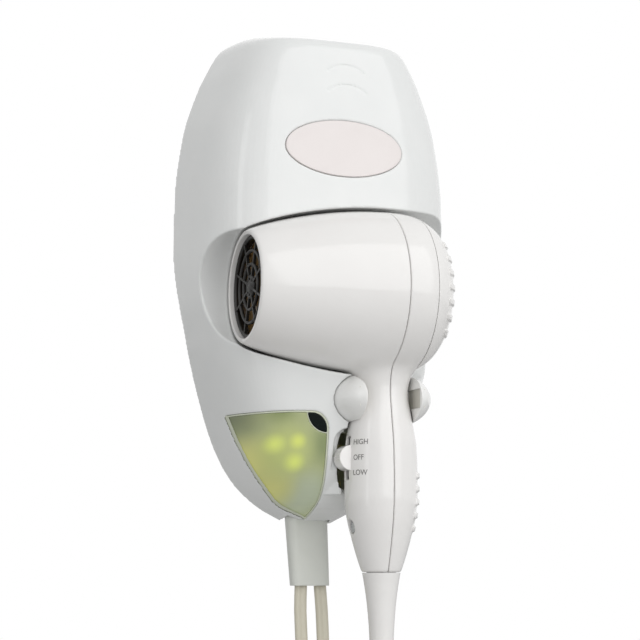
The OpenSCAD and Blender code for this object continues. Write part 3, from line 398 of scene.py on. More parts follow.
def moulded(piece, grain, rounds, faces=None):
    """Rounds a moulding's edges a little: an even skin, smoothed, then thinned to so many faces."""
    skin = piece.modifiers.new("skin", "REMESH")
    skin.mode, skin.voxel_size = "VOXEL", grain * MM * 1
    even = piece.modifiers.new("even", "SMOOTH")
    even.factor, even.iterations = 0.5, rounds
    settle(piece)
    share = faces / (2 * len(piece.data.polygons)) if faces else 1
    if share < 1:
        thin = piece.modifiers.new("thin", "DECIMATE")
        thin.ratio = share
        settle(piece)
    return piece


turns_fine = even_turns(44)
levels_fine = sorted({round(1 - k / 55, 4) for k in range(111)}
                     | {0.99, 0.955, 0.945, 0.93, 0.92, 0.91, 0.90, 0.89, 0.875, -0.99}, reverse=True)


def egg(name, inset=0, back=0, low=-1, high=1):
    return lofted(name, [egg_ring(u, inset, back, turns_fine) for u in levels_fine if low <= u <= high])


handle_x, axis_depth, axis_z, handle_end_z = 20.6, 50, -13.7, -149.5
handle_drop = axis_z - handle_end_z
nozzle_r, barrel_r, nozzle_len, rear_len, intake_r = 27, 40.1, 70, 28.8, 20
neck_r, grip_r, tip_r = 13.4, 17.9, 9.5
past_handset, past_front, below_all = 150, 120, -250     # places well past the handset, where cuts end
# share of the way from the barrel's axis to the handle's end, half its width, half its depth
handle_form = [(0.20, neck_r + 14, neck_r + 9), (0.24, neck_r + 8, neck_r + 5),
               (0.275, neck_r + 4.4, neck_r + 2.6), (0.31, neck_r + 1.4, neck_r + 0.9),
               (0.36, neck_r, neck_r), (0.46, grip_r * 0.86, grip_r * 0.85),
               (0.56, grip_r * 0.98, grip_r * 0.97), (0.65, grip_r, grip_r * 0.99),
               (0.73, grip_r * 0.995, grip_r * 0.985), (0.80, grip_r * 0.945, grip_r * 0.935),
               (0.88, grip_r * 0.81, grip_r * 0.80), (0.945, grip_r * 0.67, grip_r * 0.66), (1, tip_r, tip_r)]
handle_steps = [0.20 + 0.8 * k / 60 for k in range(61)]
nozzle_steps = [-nozzle_len * (1 - (k / 40) ** 1.6) for k in range(40)]
rear_steps = [rear_len * sin(pi / 2 * k / 24) for k in range(25)]
barrel_middle = (handle_x, -axis_depth, axis_z)


def barrel_radius(s):
    """Radius of the barrel at a distance from the handle along its axis: the nozzle is negative."""
    if s < 0:
        return nozzle_r + (barrel_r - nozzle_r) * max(sin(pi / 2 * (1 + s / nozzle_len)), 0) ** 0.8
    return intake_r + (barrel_r - intake_r) * sqrt(max(1 - (s / rear_len) ** 2.8, 0))


def round_barrel(name, profile, steps=96):
    """A solid turned about the barrel's axis, whose places count from the handle."""
    return spun(name, profile, barrel_middle, (1, 0, 0), (0, -1, 0), steps)


def round_handle(name, profile, steps=96):
    """A solid turned about the handle's axis, whose places are heights."""
    return spun(name, profile, (handle_x, -axis_depth, 0), (0, 0, 1), (1, 0, 0), steps)


def neck_room(gap):
    """The handle's profile with a gap, straight above its neck and below its end."""
    grip = [(axis_z - handle_drop * t, smooth_curve(handle_form, t, 1) + gap) for t in handle_steps]
    foot_r = tip_r + gap + 3
    return [(axis_z, grip[0][1])] + grip[:-1] + [(handle_end_z, foot_r), (below_all, foot_r)]


def handset_room(gap):
    """What the handset needs round it, open to the front and at both ends."""
    line = [(-past_handset, nozzle_r + gap)] + [(s, barrel_radius(s) + gap) for s in nozzle_steps]
    line += [(0, barrel_r + gap), (past_handset, barrel_r + gap)]
    bore = round_barrel("room", [(-past_handset, 0)] + line + [(past_handset, 0)])
    above = [(handle_x + s, axis_z + r) for s, r in line]
    below = [(handle_x + s, axis_z - r) for s, r in line]
    way = slab("way", above + below[::-1], axis_depth, past_front)
    grip = neck_room(gap)
    shaft = round_handle("room_grip", [(axis_z, 0)] + grip + [(below_all, 0)], 64)
    right, left = [(handle_x + r, z) for z, r in grip], [(handle_x - r, z) for z, r in grip]
    return join(bore, way, shaft, slab("way_grip", right + left[::-1], axis_depth, past_front))


ear_z, ear_h, ear_reach, ear_nose, ear_gap, web_d = -66, 23, 74, 16, 0.5, 22
ear_room, leaf_x, leaf_depth, leaf_radii = 0.4, 6, 46, (19.6, 25.4, 13.6)


def ear(side, margin):
    """One ear of the cradle: a nosed plate, cut to a leaf by its bulging outer face."""
    nose, tall = ear_nose + margin, ear_h / 2 + margin
    profile = [(web_d, -tall), (ear_reach - ear_nose, -tall)]
    profile += [(ear_reach - ear_nose + nose * sin(a), -tall * cos(a))
                for a in [pi * k / 40 for k in range(1, 40)]]
    profile += [(ear_reach - ear_nose, tall), (web_d, tall)]
    rings = [[(handle_x + side * x, -d, ear_z + h) for d, h in profile] for x in (0, neck_r + 14)]
    bm = bmesh.new()
    middle = Matrix.Translation(MM * Vector((handle_x + side * leaf_x, -leaf_depth, ear_z)))
    leaf = middle @ Matrix.Diagonal((*[MM * (r + margin) for r in leaf_radii], 1))
    bmesh.ops.create_uvsphere(bm, u_segments=96, v_segments=64, radius=1, matrix=leaf)
    return keep(lofted("ear", rings), as_object("ear_bulge", bm))


slider_z, slider_travel, knob_r, knob_out, knob_w = -94.8, 7.3, 6.1, 5, 9
knob_face_x = handle_x - grip_r - knob_out
window_right_x, window_top_z, window_corner_r = -6.4, -72.5, 9
window_left = [(0, -49.6, -73.5), (0.2, -44.4, -86.3), (0.4, -38.2, -98.1), (0.6, -30.4, -108.6),
               (0.8, -20.8, -117.4), (1, -5.6, -123.6)]
window_top = [(-34, -72.9), (-24, window_top_z)]
window_right = [(-6.0, -94), (-5.5, -104), (-4.9, -114)]


def window_outline(inset):
    """A curved triangle: its long side runs beside the base's edge, its right side beside the trough."""
    line = [(smooth_curve(window_left, u, 1), smooth_curve(window_left, u, 2))
            for u in [k / 30 for k in range(30, -1, -1)]]
    line += window_top + arc(window_right_x - window_corner_r, window_top_z - window_corner_r,
                             window_corner_r, 90, 0, 12) + window_right
    moved = []
    for k, here in enumerate(line):
        come = (Vector(here) - Vector(line[k - 1])).normalized()
        leave = (Vector(line[(k + 1) % len(line)]) - Vector(here)).normalized()
        between = (come + leave).normalized()
        square = max(between.dot(come), 0.5)
        moved.append((here[0] + inset * between.y / square, here[1] - inset * between.x / square))
    return moved


badge_w, badge_h, badge_z, badge_t, badge_gap = 60.5, 28, 56.3, 1.6, 0.28


def badge_outline(margin):
    w, h = badge_w / 2 + margin, badge_h / 2 + margin
    return [(w * cos(a), badge_z + h * sin(a)) for a in [2 * pi * k / 96 for k in range(96)]]


def shallow(name, outline, depth):
    """A tool that sinks an outline into the cover's skin by a depth."""
    return cut(slab(name, outline, plate_t, past_cover), egg("floor", depth))


post_r, post_len = 3.6, 60
post_places = ((-1, 84, 20.5), (1, 84, 20.5), (-1, -46, 7.6), (1, -41, 10.2))
cover = egg("cover")
cut(cover, egg("hollow", cover_wall, 2))
inner = handset_room(recess_gap + cover_wall)
for side, z, edge in post_places:
    foot = (side * egg_width(z / half_h, edge), 0, z)
    line = [(plate_t, 0), (plate_t, post_r), (post_len, post_r), (post_len, 0)]
    post = spun("post", line, foot, (0, -1, 0), (1, 0, 0), 24)
    join(inner, post)
keep(inner, egg("inner_limit", cover_wall / 2))
join(cover, inner)
slider_flange = lofted("slider_flange", [
    [(-8.5, -34, -112), (2, -42, -112), (9, -42, -112), (9, -34, -112)],
    [(-7, -40, -95), (1.5, -44.5, -95), (9, -44.5, -95), (9, -40, -95)],
    [(-3.5, -46, -76), (1.5, -52, -76), (9, -52, -76), (9, -46, -76)]])
join(cover, slider_flange)
cut(cover, handset_room(recess_gap))
sweep = arc(knob_face_x + knob_r, slider_z + slider_travel, knob_r + 1, 0, 180, 24)
sweep += arc(knob_face_x + knob_r, slider_z - slider_travel, knob_r + 1, 180, 360, 24)
notch = [(9, -82), (2.2, -82), (0.2, -88.5), (0.2, -101.5), (2.2, -109), (9, -109)]
cut(cover, slab("sweep", sweep, axis_depth - knob_w / 2 - 1, past_front),
    slab("notch", notch, 26, past_front), ear(-1, ear_room), ear(1, ear_room))
cut(cover, slab("window_hole", window_outline(0), 2, past_cover))
cut(cover, shallow("badge_seat", badge_outline(badge_gap), badge_t))
arc_r, arc_w, arc_depth = 16, 1.2, 0.5
for x, z in ((1.6, 99.9), (1.8, 89.7)):
    mark = arc(x, z - arc_r, arc_r, 48, 132, 24) + arc(x, z - arc_r, arc_r - arc_w, 132, 48, 24)
    cut(cover, shallow("arc_mark", mark, arc_depth))
gland_x, gland_d, gland_w, gland_t, gland_slot_z = -3.2, 8, 21.6, 10, -half_h + cover_wall + 3
gland_low = (gland_x - gland_w / 2 - 0.3, -gland_d - gland_t / 2 - 0.4, -half_h - 15)
cut(cover, block("gland_slot", gland_low, (gland_x + gland_w / 2 + 0.3, 2, gland_slot_z)))
moulded(cover, 0.5, 6, 196000)
fitted(cover, "cover_moulding", "base", "base_white", "front_cover", angle=60)
base_plastic = finish("base_plastic", (226, 228, 227), (236, 237, 236), (0.11, 0.18), 0.008, 35, 700)
dress(base_plastic, cover)
dress(finish("back_plate_plastic", (214, 215, 214), (228, 229, 228), (0.4, 0.55), 0.05), "back_plate")
steel = finish("zinc_steel", (168, 170, 174), (196, 198, 200), (0.22, 0.36), 0.02, 300, 2500, Metallic=1.0)
dress(steel, "cover_screws", "clamp_screws", "cradle_screws", "handle_screw")
terminal_plastic = finish("terminal_plastic", (222, 214, 190), (234, 228, 206), (0.45, 0.6), 0.04)
dress(terminal_plastic, "terminal_block", "cord_clamp")


# ---- name plate ------------------------------------------
# A slightly domed oval badge in pale blush plastic, pressed into its seat in the cover with a fine gap
# round it. Its face is bare.
plate = slab("plate", badge_outline(0), plate_t, past_cover)
keep(plate, egg("plate_skin", -0.35, 0, 0.2, 0.7))
cut(plate, egg("plate_back", badge_t - 0.05, 0, 0.1, 0.8))
moulded(plate, 0.25, 4, 60000)
fitted(plate, "badge_plate", "base", "badge_blush", "name_plate")
dress(finish("blush_plastic", (228, 221, 219), (234, 228, 226), (0.3, 0.42), 0.02), plate)


# ---- night light -----------------------------------------
# A frosted yellow-green lens over a small board with three lamps, and beside it in the same opening a black
# filter over the light sensor. Both are clipped into the cover from behind, in a rim whose pale colour is a
# painted highlight. The lens's colour holds painted shade and light, and a painted glow round each lamp.
sensor_x, sensor_z, sensor_r, sensor_rim = window_right_x - 0.5, window_top_z + 0.5, 10.6, 0.5
lens_sunk, lens_t, rim_w, rim_sunk, window_gap = 0.5, 2, 0.85, 0.15, 0.25


def lens_blank(inset):
    blank = slab("lens", window_outline(inset), 2, past_cover)
    keep(blank, egg("lens_skin", lens_sunk, 0, -1, -0.4))
    return cut(blank, egg("lens_back", lens_sunk + lens_t, 1, -1, -0.4))


def sensor_plug(r):
    return slab("sensor", arc(sensor_x, sensor_z, r, 0, 354, 59), 2, past_cover)


lens = cut(lens_blank(rim_w + 0.05), sensor_plug(sensor_r + sensor_rim + 0.05))
moulded(lens, 0.3, 4, 60000)
fitted(lens, "night_lens", "base", "lamp_window", "night_light_window")
rim = slab("rim", window_outline(0.1), 2, past_cover)
keep(rim, egg("rim_skin", rim_sunk, 0, -1, -0.4))
cut(rim, egg("rim_back", lens_sunk + lens_t, 1, -1, -0.4),
    slab("rim_hole", window_outline(rim_w), 1, past_cover + 2))
bridge = keep(lens_blank(window_gap), sensor_plug(sensor_r + sensor_rim))
join(rim, cut(bridge, sensor_plug(sensor_r)))
moulded(rim, 0.22, 4, 60000)
fitted(rim, "lens_rim", "base", "lamp_window", "night_light_window")
filter_piece = keep(lens_blank(rim_w + 0.05), sensor_plug(sensor_r - 0.05))
moulded(filter_piece, 0.2, 3, 20000)
fitted(filter_piece, "sensor_filter", "base", "sensor_black", "sensor_window")


def spot_group():
    """A soft round mask about a place, seen along the wall's normal."""
    group, given, out, flat = shader_group(
        "soft_spot", ("Place", "INPUT", "Vector"), ("Inner", "INPUT", "Float"), ("Outer", "INPUT", "Float"),
        ("Mask", "OUTPUT", "Float"))
    links = group.links
    apart, fade = group.nodes.new("ShaderNodeVectorMath"), group.nodes.new("ShaderNodeMapRange")
    apart.operation, fade.interpolation_type = "DISTANCE", "SMOOTHSTEP"
    flat.inputs[1].default_value = (1, 0, 1)
    put(fade, To_Min=1, To_Max=0)
    links.new(flat.outputs[0], apart.inputs[0])
    links.new(given.outputs["Place"], apart.inputs[1])
    links.new(apart.outputs["Value"], fade.inputs["Value"])
    links.new(given.outputs["Inner"], fade.inputs["From Min"])
    links.new(given.outputs["Outer"], fade.inputs["From Max"])
    links.new(fade.outputs[0], out.inputs["Mask"])
    return group


# x, z, inner and outer radius, colour of a spot: painted shade and light across the lens
painted_shade_and_light_spots = ((-56, -72, 3, 26, (92, 98, 80)), (-30, -70, 1, 12, (118, 128, 84)),
                (-6, -88, 2, 14, (120, 130, 92)), (-12, -112, 2, 16, (160, 168, 146)),
                (-41, -98, 2, 18, (190, 188, 116)), (-30, -112, 2, 16, (182, 182, 112)),
                (-26, -91, 3, 17, (166, 174, 110)))
# x, z, inner and outer radius, colour of a painted glow round each of the three lamps
painted_lamp_glows = ((-31.3, -88.4, 0, 6.4, (196, 206, 112)), (-21.2, -87, 0, 5.4, (192, 200, 106)),
              (-21.7, -96.9, 0, 6.4, (192, 202, 108)))
soft_spot = spot_group()
# The lens's colour, painted spots and all, is also its emission: a painted glow that lifts its shade.
lens_painted_glow = finish("lens_painted_glow_and_shade", (140, 146, 108), (158, 165, 122), (0.16, 0.26), 0.02, 70, 1200,
                     Emission_Strength=0.36)
made, links = lens_painted_glow.node_tree.nodes, lens_painted_glow.node_tree.links
colour = made["shades"].outputs[2]
for x, z, inner_r, outer_r, tint in painted_shade_and_light_spots + painted_lamp_glows:
    spot, mix = made.new("ShaderNodeGroup"), made.new("ShaderNodeMix")
    spot.node_tree, mix.data_type = soft_spot, "RGBA"
    put(spot, Place=(x * MM, 0, z * MM), Inner=inner_r * MM, Outer=outer_r * MM)
    links.new(spot.outputs["Mask"], mix.inputs[0])
    links.new(colour, mix.inputs[6])
    mix.inputs[7].default_value = (*srgb(*tint), 1)
    colour = mix.outputs[2]
shader = made["Principled BSDF"]
links.new(colour, shader.inputs["Base Color"])
links.new(colour, shader.inputs["Emission Color"])
dress(lens_painted_glow, lens)
# The rim's pale colour is a painted highlight along the lens's rounded edge.
dress(finish("rim_painted_highlight", (204, 209, 188), (218, 222, 204), (0.14, 0.24), 0.015), rim)
sensor_plastic = finish("sensor_plastic", (3, 12, 10), (12, 22, 20), (0.2, 0.3), 0.01,
                        Specular_IOR_Level=0.15)
dress(sensor_plastic, filter_piece)
board_laminate = finish("board_laminate", (28, 84, 48), (44, 110, 64), (0.3, 0.45), 0.03)
dress(board_laminate, "night_light_board", "rectifier_board")
dress(finish("led_resin", (214, 218, 150), (232, 236, 170), (0.08, 0.16), 0.01), "night_light_leds")
dress(finish("photocell_case", (60, 58, 54), (84, 80, 74), (0.35, 0.5)), "photocell")


# ---- plug ------------------------------------------------
# A large ivory plug with a trip switch inside, two brass blades, and a black and a red key that work
# against springs. The body is moulded polycarbonate in two halves, rounded all round.
plug_bm = bmesh.new()
plug_bm.from_mesh(nodes["plug_body"].data)
bmesh.ops.remove_doubles(plug_bm, verts=plug_bm.verts, dist=1e-6)
plug = moulded(as_object("plug", plug_bm), 0.5, 6, 60000)
fitted(plug, "plug_moulding", "base", "plug_ivory", "plug_body")
dress(finish("plug_polycarbonate", (219, 213, 200), (228, 223, 212), (0.28, 0.4), 0.03), plug)
blade_brass = finish("blade_brass", (196, 168, 104), (214, 188, 124), (0.22, 0.36), 0.02, 200, 2200,
                     (1, 1, 0.1), Metallic=1.0)
dress(blade_brass, "plug_blades")
dress(finish("key_black", (26, 27, 28), (42, 43, 44), (0.35, 0.48), 0.03), "test_button")
dress(finish("key_red", (176, 32, 28), (196, 46, 40), (0.3, 0.42), 0.03), "reset_button")


# ---- handset shells --------------------------------------
# Two glossy warm white shells, 2 mm thick, that meet in a fine seam round handle and barrel. The front one
# has the nozzle and half of the handle, the rear one the other half with raised grip ribs along its back.
shell_t, cap_seam, seam_gap = 2, 15.3, 0.12
mouth_r, grille_s, grille_t = nozzle_r - shell_t, -nozzle_len + 2.4, 2
lip_s = grille_s + grille_t + 2.4
blend_z, blend_half_h, blend_half_w = -36, 20, 34      # the corner under the barrel, from the barrel's axis
screw_z, screw_boss_r, screw_recess_r = -127.6, 5, 3.6
slot_z, slot_half_w = 2 * slider_travel + 6.2, 2.4
rib_pitch, rib_count, rib_proud, rib_half_w = 6.4, 5, 1.05, 12


def handle_solid(inset, extra=0):
    rings = []
    for t in reversed(handle_steps):
        a, b = smooth_curve(handle_form, t, 1) - inset, smooth_curve(handle_form, t, 2) - inset
        z = axis_z - handle_drop * t - (extra if t == 1 else 0)
        rings.append([(handle_x + a * cos(q), -axis_depth + b * sin(q), z)
                      for q in [2 * pi * j / 72 for j in range(72)]])
    return lofted("handle", rings)


def barrel_line(inset, beyond):
    """The barrel's profile from its mouth to its rear end, as far as it lies beyond a place."""
    return [(s, barrel_radius(s) - inset) for s in nozzle_steps + rear_steps if s > beyond]


def blended_form():
    """Barrel and handle in one skin, whose corner under the barrel is smoothed to a hollow curve."""
    line = barrel_line(0, -past_handset)
    line = [(line[0][0], 0), line[0]] + line + [(rear_len, intake_r), (rear_len, 0)]
    barrel = round_barrel("barrel", line, 144)
    form = moulded(join(barrel, handle_solid(0)), 1.0, 3)
    corner = form.vertex_groups.new(name="corner")
    for v in form.data.vertices:
        x, y, z = v.co / MM - Vector(barrel_middle)
        near = 1 - abs(z - blend_z) / blend_half_h if abs(x) < blend_half_w else 0
        if near > 0:
            corner.add([v.index], min(1, 1.6 * near), "REPLACE")
    ease = form.modifiers.new("ease", "SMOOTH")
    ease.factor, ease.iterations, ease.vertex_group = 0.5, 90, "corner"
    return settle(form)


handset_form = blended_form()


def handset_solid():
    """The whole handset's wall, hollow in barrel and handle, with a thicker lip round the mouth."""
    solid = linked("handset_solid", handset_form.data.copy())
    mouth = [(-nozzle_len - 5, 0), (-nozzle_len - 5, mouth_r), (lip_s, mouth_r),
             (lip_s, barrel_radius(lip_s) - shell_t)]
    end = [(rear_len + 4.2, intake_r - shell_t), (rear_len + 4.2, 0)]
    cut(solid, round_barrel("hollow", mouth + barrel_line(shell_t, lip_s + 0.2) + end, 144))
    return cut(solid, handle_solid(shell_t, 3))


def middle_block(name, x0, x1, half_w, z0, z1):
    """A box that lies evenly about the handset's middle plane."""
    return block(name, (x0, -axis_depth - half_w, z0), (x1, -axis_depth + half_w, z1))


def round_screw(name, profile):
    """A solid turned about the handle screw's axis, whose places count from the middle of the handle."""
    return spun(name, profile, (handle_x, -axis_depth, screw_z), (1, 0, 0), (0, -1, 0), 48)


front = handset_solid()
keep(front, block("front_side", (-90, -past_front, -160), (handle_x - seam_gap, 0, 40)))
boss = round_screw("boss", [(-16.4, 0), (-16.4, screw_boss_r), (-4, screw_boss_r), (-4, 0)])
join(front, keep(boss, handle_solid(0.5)))
cut(front, round_screw("recess", [(-24, 0), (-24, screw_recess_r), (-13, screw_recess_r), (-13, 0)]))
cut(front, middle_block("slot", handle_x - grip_r - 6, handle_x - grip_r + 4, slot_half_w,
                        slider_z - slot_z / 2, slider_z + slot_z / 2))
moulded(front, 0.42, 5, 180000)
fitted(front, "nozzle_shell", "handset", "handset_white", "front_shell")

rear = handset_solid()
rib_rows = handle_solid(-rib_proud)
ribs = [middle_block("rib", handle_x + grip_r - 5, handle_x + grip_r + 3, rib_half_w,
                     screw_z - 2.4 + rib_pitch * k, screw_z + 0.2 + rib_pitch * k)
        for k in range(rib_count)]
join(ribs[0], *ribs[1:])
keep(rib_rows, ribs[0])
join(rear, rib_rows)
keep(rear, block("rear_side", (handle_x + seam_gap, -past_front, -160), (handle_x + 60, 0, 40)))
cut(rear, block("cap_side", (handle_x + cap_seam - seam_gap, -past_front, -60), (handle_x + 70, 5, 45)))
moulded(rear, 0.42, 4, 120000)
bpy.data.objects.remove(handset_form)
fitted(rear, "rear_moulding", "handset", "handset_white", "rear_shell")
handset_plastic = finish("handset_plastic", (233, 231, 229), (241, 240, 238), (0.1, 0.17), 0.008, 30, 700)
dress(handset_plastic, front, rear)


# ---- outlet grille ---------------------------------------
# A black heat-proof grille of four rings on eight spokes with a small hub, held in the mouth by its rim.
# Behind it lie the heater's coils on their mica boards.
spoke_count, spoke_half_w, hub_r = 8, 0.55, 3.4
rings = [round_barrel("ring", [(grille_s + 1 + thick * 1.2 * sin(a), r + thick * cos(a))
                               for a in [2 * pi * k / 12 for k in range(13)]], 72)
         for r, thick in ((5, 0.8), (11, 0.8), (17.5, 0.8), (mouth_r - 1.1, 1.0))]
grille = rings[0]
for ring in rings[1:]:
    join(grille, ring)
middle = MM * Vector(barrel_middle)
for k in range(spoke_count):
    spoke = middle_block("spoke", handle_x + grille_s + 0.3, handle_x + grille_s + 1.7, spoke_half_w,
                         axis_z + 2, axis_z + mouth_r - 0.9)
    turn = Matrix.Rotation(pi / spoke_count + 2 * pi / spoke_count * k, 4, "X")
    spoke.data.transform(Matrix.Translation(middle) @ turn @ Matrix.Translation(-middle))
    join(grille, spoke)
hub = round_barrel("hub", [(grille_s - 0.2, 0), (grille_s - 0.2, hub_r - 0.8), (grille_s + 0.4, hub_r),
                           (grille_s + grille_t, hub_r), (grille_s + grille_t, 0)], 48)
join(grille, hub)
rim_in, rim_out = mouth_r - 1.5, mouth_r - 0.15
rim_line = [(grille_s + 0.4, rim_in), (grille_s + 0.4, rim_out), (grille_s + 4, rim_out),
            (grille_s + 4, rim_in)]
join(grille, round_barrel("rim", rim_line + rim_line[:1]))
fitted(grille, "mouth_grille", "handset", "grille_black", "outlet_grille", angle=40)
black_nylon = finish("black_nylon", (20, 19, 18), (38, 36, 33), (0.35, 0.55), 0.05)
dress(black_nylon, grille, "switch_body", "intake_screen")
mica = finish("mica", (196, 162, 108), (226, 196, 142), (0.4, 0.6), 0.06, 150, 1500)
dress(mica, "mica_sleeve", "mica_cross")
dress(finish("heating_wire", (150, 140, 128), (186, 176, 162), (0.3, 0.45), Metallic=1.0), "heater_coils")


# ---- speed slider ----------------------------------------
# A white half-round knob with fine grip lines, on a stem that reaches through the slot in the shell to the
# switch. It clicks between HIGH, OFF and LOW, which are printed beside it on the front shell.
knob_back_x = knob_face_x + knob_out + 0.8
knob = slab("knob", arc(knob_face_x + knob_r, slider_z, knob_r, 90, 270, 48)
            + [(knob_back_x, slider_z - knob_r), (knob_back_x, slider_z + knob_r)],
            axis_depth - knob_w / 2, axis_depth + knob_w / 2)
line_r, line_half_w, line_pitch = 0.4, 2.6, 1.2
for k in (-1, 0, 1):
    place = (knob_face_x - 0.05 + 0.09 * k * k, -axis_depth, slider_z + line_pitch * k)
    line = [(-line_half_w, 0), (-line_half_w, line_r), (line_half_w, line_r), (line_half_w, 0)]
    cut(knob, spun("grip_line", line, place, (0, 1, 0), (1, 0, 0), 16))
join(knob, middle_block("stem", knob_face_x + 4, handle_x - 9.8, 1.8, slider_z - 2.6, slider_z + 2.6))
moulded(knob, 0.2, 5, 40000)
fitted(knob, "slider_knob", "slider", "handset_white", "power_slider")
dress(handset_plastic, knob)


# ---- intake cap ------------------------------------------
# The domed rear end of the barrel pulls off so that lint can be cleaned from the screen behind it. Level
# bars cross its open end and stand a little proud of the dome.
cap_end = rear_len - shell_t
bar_pitch, bar_half_h, gap_half_h, bar_s = 7.2, 1.4, 2.1, cap_seam + 6
cap_line = barrel_line(0, cap_seam + 0.3)
seam_line = [(cap_seam + seam_gap, 0), (cap_seam + seam_gap, barrel_radius(cap_seam))]
cap = round_barrel("cap", seam_line + cap_line + [(rear_len, 0)], 144)
hollow = [(cap_seam - 1, 0), (cap_seam - 1, barrel_radius(cap_seam) - shell_t)]
hollow += [(s - 0.6, r - shell_t) for s, r in cap_line if s < rear_len - 0.3]
hollow += [(cap_end, intake_r - shell_t - 1), (cap_end, 0)]
cut(cap, round_barrel("cap_hollow", hollow, 144))
bars = [middle_block("bar", handle_x + bar_s, handle_x + rear_len + 4, 40, z - bar_half_h, z + bar_half_h)
        for z in [axis_z + bar_pitch * k for k in range(-3, 4)]]
for bar in bars[1:]:
    join(bars[0], bar)
proud = [(s + 0.6, r + 0.65) for s, r in barrel_line(0, bar_s)]
bar_form = [(bar_s, 0), (bar_s, 37)] + proud
bar_form += [(rear_len + 1.4, intake_r - 1), (rear_len + 2, intake_r - 8), (rear_len + 2.4, 0)]
bar_back = [(0, 0), (0, 45), (bar_s + 1, 36.2), (cap_end, intake_r + 2), (cap_end, 0)]
keep(bars[0], round_barrel("bar_form", bar_form))
cut(bars[0], round_barrel("bar_back", bar_back))
for h in [bar_pitch * (k + 0.5) for k in range(-3, 3)]:
    gap_half_w = sqrt((intake_r + 6.5) ** 2 - h * h) - 2
    cut(cap, middle_block("gap", handle_x + rear_len - 11, handle_x + rear_len + 7, gap_half_w,
                          axis_z + h - gap_half_h, axis_z + h + gap_half_h))
join(cap, bars[0])
lip_r = barrel_radius(cap_seam) - shell_t
lip = [(cap_seam - 3, lip_r - 1.6), (cap_seam - 3, lip_r - 0.15), (cap_seam + 1, lip_r - 0.15),
       (cap_seam + 1, lip_r + 0.5), (cap_seam + 2, lip_r + 0.5), (cap_seam + 2, lip_r - 1.6)]
join(cap, round_barrel("lip", lip + lip[:1]))
moulded(cap, 0.35, 4, 120000)
fitted(cap, "intake_dome", "intake", "handset_white", "intake_cap")
dress(handset_plastic, cap, "bend_sleeve")


# ---- cradle ----------------------------------------------
# A white acetal fork on posts of the back plate. Its two ears come through the cover and hold the neck,
# each with a sprung steel pad in its inner face.
neck_free, hole_x = neck_r + ear_gap + 0.1, 10
screw_hole = [(web_d - 1, 0), (web_d - 1, 1.6), (web_d + 3.9, 1.6), (web_d + 4, 3.2), (60, 3.2), (60, 0)]
web = block("web", (handle_x - neck_r - 9, -web_d - 4, ear_z - ear_h / 2),
            (handle_x + neck_r + 9, -web_d, ear_z + ear_h / 2))
fork = join(ear(-1, 0), ear(1, 0), web)
grip = neck_room(ear_gap)
cut(fork, round_handle("neck_hole", [(axis_z, 0)] + grip + [(below_all, 0)]))
top_side = [(max(r, neck_free), z) for z, r in grip if z > ear_z]
way = [(handle_x + r, z) for r, z in top_side]
way += [(handle_x + neck_free, ear_z - ear_h), (handle_x - neck_free, ear_z - ear_h)]
way += [(handle_x - r, z) for r, z in top_side[::-1]]
cut(fork, slab("neck_way", way, axis_depth, past_front))
for x in (handle_x - hole_x, handle_x + hole_x):
    cut(fork, spun("hole", screw_hole, (x, 0, ear_z), (0, -1, 0), (1, 0, 0), 32))
pads_low, pads_high = [1000 * Vector(corner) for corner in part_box("snap_pads")]
for side, pad_x in ((-1, pads_low.x), (1, pads_high.x)):
    pad_seat = block("pad_seat", (min(pad_x, pad_x - side * 5), pads_low.y - 0.05, pads_low.z - 0.1),
                     (max(pad_x, pad_x - side * 5), pads_high.y + 0.2, pads_high.z + 0.1))
    cut(fork, pad_seat)
moulded(fork, 0.3, 6, 120000)
fitted(fork, "neck_cradle", "base", "base_white", "cradle_fork")
# Lighter than the cover's white: painted light that lifts the ears out of the shade they sit in.
dress(finish("cradle_white_painted_lighter", (238, 238, 236), (246, 246, 244), (0.16, 0.24), 0.01), fork)
spring_steel = finish("spring_steel", (206, 204, 196), (224, 222, 214), (0.42, 0.55), 0.01, Metallic=0.35)
dress(spring_steel, "snap_pads")


# ---- cord gland ------------------------------------------
# A soft grey sleeve that leaves the bottom of the base at a slant, with a flat oval section that narrows to
# the two cords side by side. A flange inside the cover holds it.
gland_top_z, gland_end_z, gland_end_w, gland_end_t = -half_h + cover_wall + 3.2, -156, 19.6, 9
gland_slant, gland_corner, corner_loss = 6, 4, 0.5
cord_hole_w, cord_hole_t = 3.4, 2


def oval(wide, deep, corner, y, z):
    outline = []
    for sx, sy, start in ((1, 1, 0), (-1, 1, 90), (-1, -1, 180), (1, -1, 270)):
        outline += arc(sx * (wide / 2 - corner), sy * (deep / 2 - corner), corner, start, start + 90, 10)
    return [(gland_x + x, y + dy, z) for x, dy in outline]


gland = lofted("gland", [oval(gland_w + (gland_end_w - gland_w) * t, gland_t + (gland_end_t - gland_t) * t,
                              gland_corner - corner_loss * t, -gland_d - gland_slant * t,
                              gland_top_z + (gland_end_z - gland_top_z) * t)
                         for t in [k / 12 for k in range(13)]])
flange = lofted("flange", [oval(gland_w + 1, gland_t, 3, -gland_d, gland_top_z + h) for h in (1.2, 0)])
join(gland, flange)
hole_turns = [2 * pi * k / 24 for k in range(24)]
for x in (gland_x - cord_off, gland_x + cord_off):
    cut(gland, lofted("cord_hole", [[(x + cord_hole_w * cos(a), y + cord_hole_t * sin(a), z)
                                     for a in hole_turns] for y, z in ((-14.2, -157), (-12.4, -150))]))
moulded(gland, 0.3, 5, 40000)
fitted(gland, "gland_sleeve", "base", "gland_grey", "cord_gland")
dress(finish("gland_rubber", (204, 206, 199), (216, 218, 212), (0.42, 0.55), 0.04, 80, 1100), gland)


# ---- switch lettering ------------------------------------
# Grey pad-printed words beside the slider, wrapped on the handle's left front. Each lies so many degrees
# round the handle from its front.
word_h, capital_share, ink_t, ink_lift = 2.6, 0.72, 0.03, 0.04


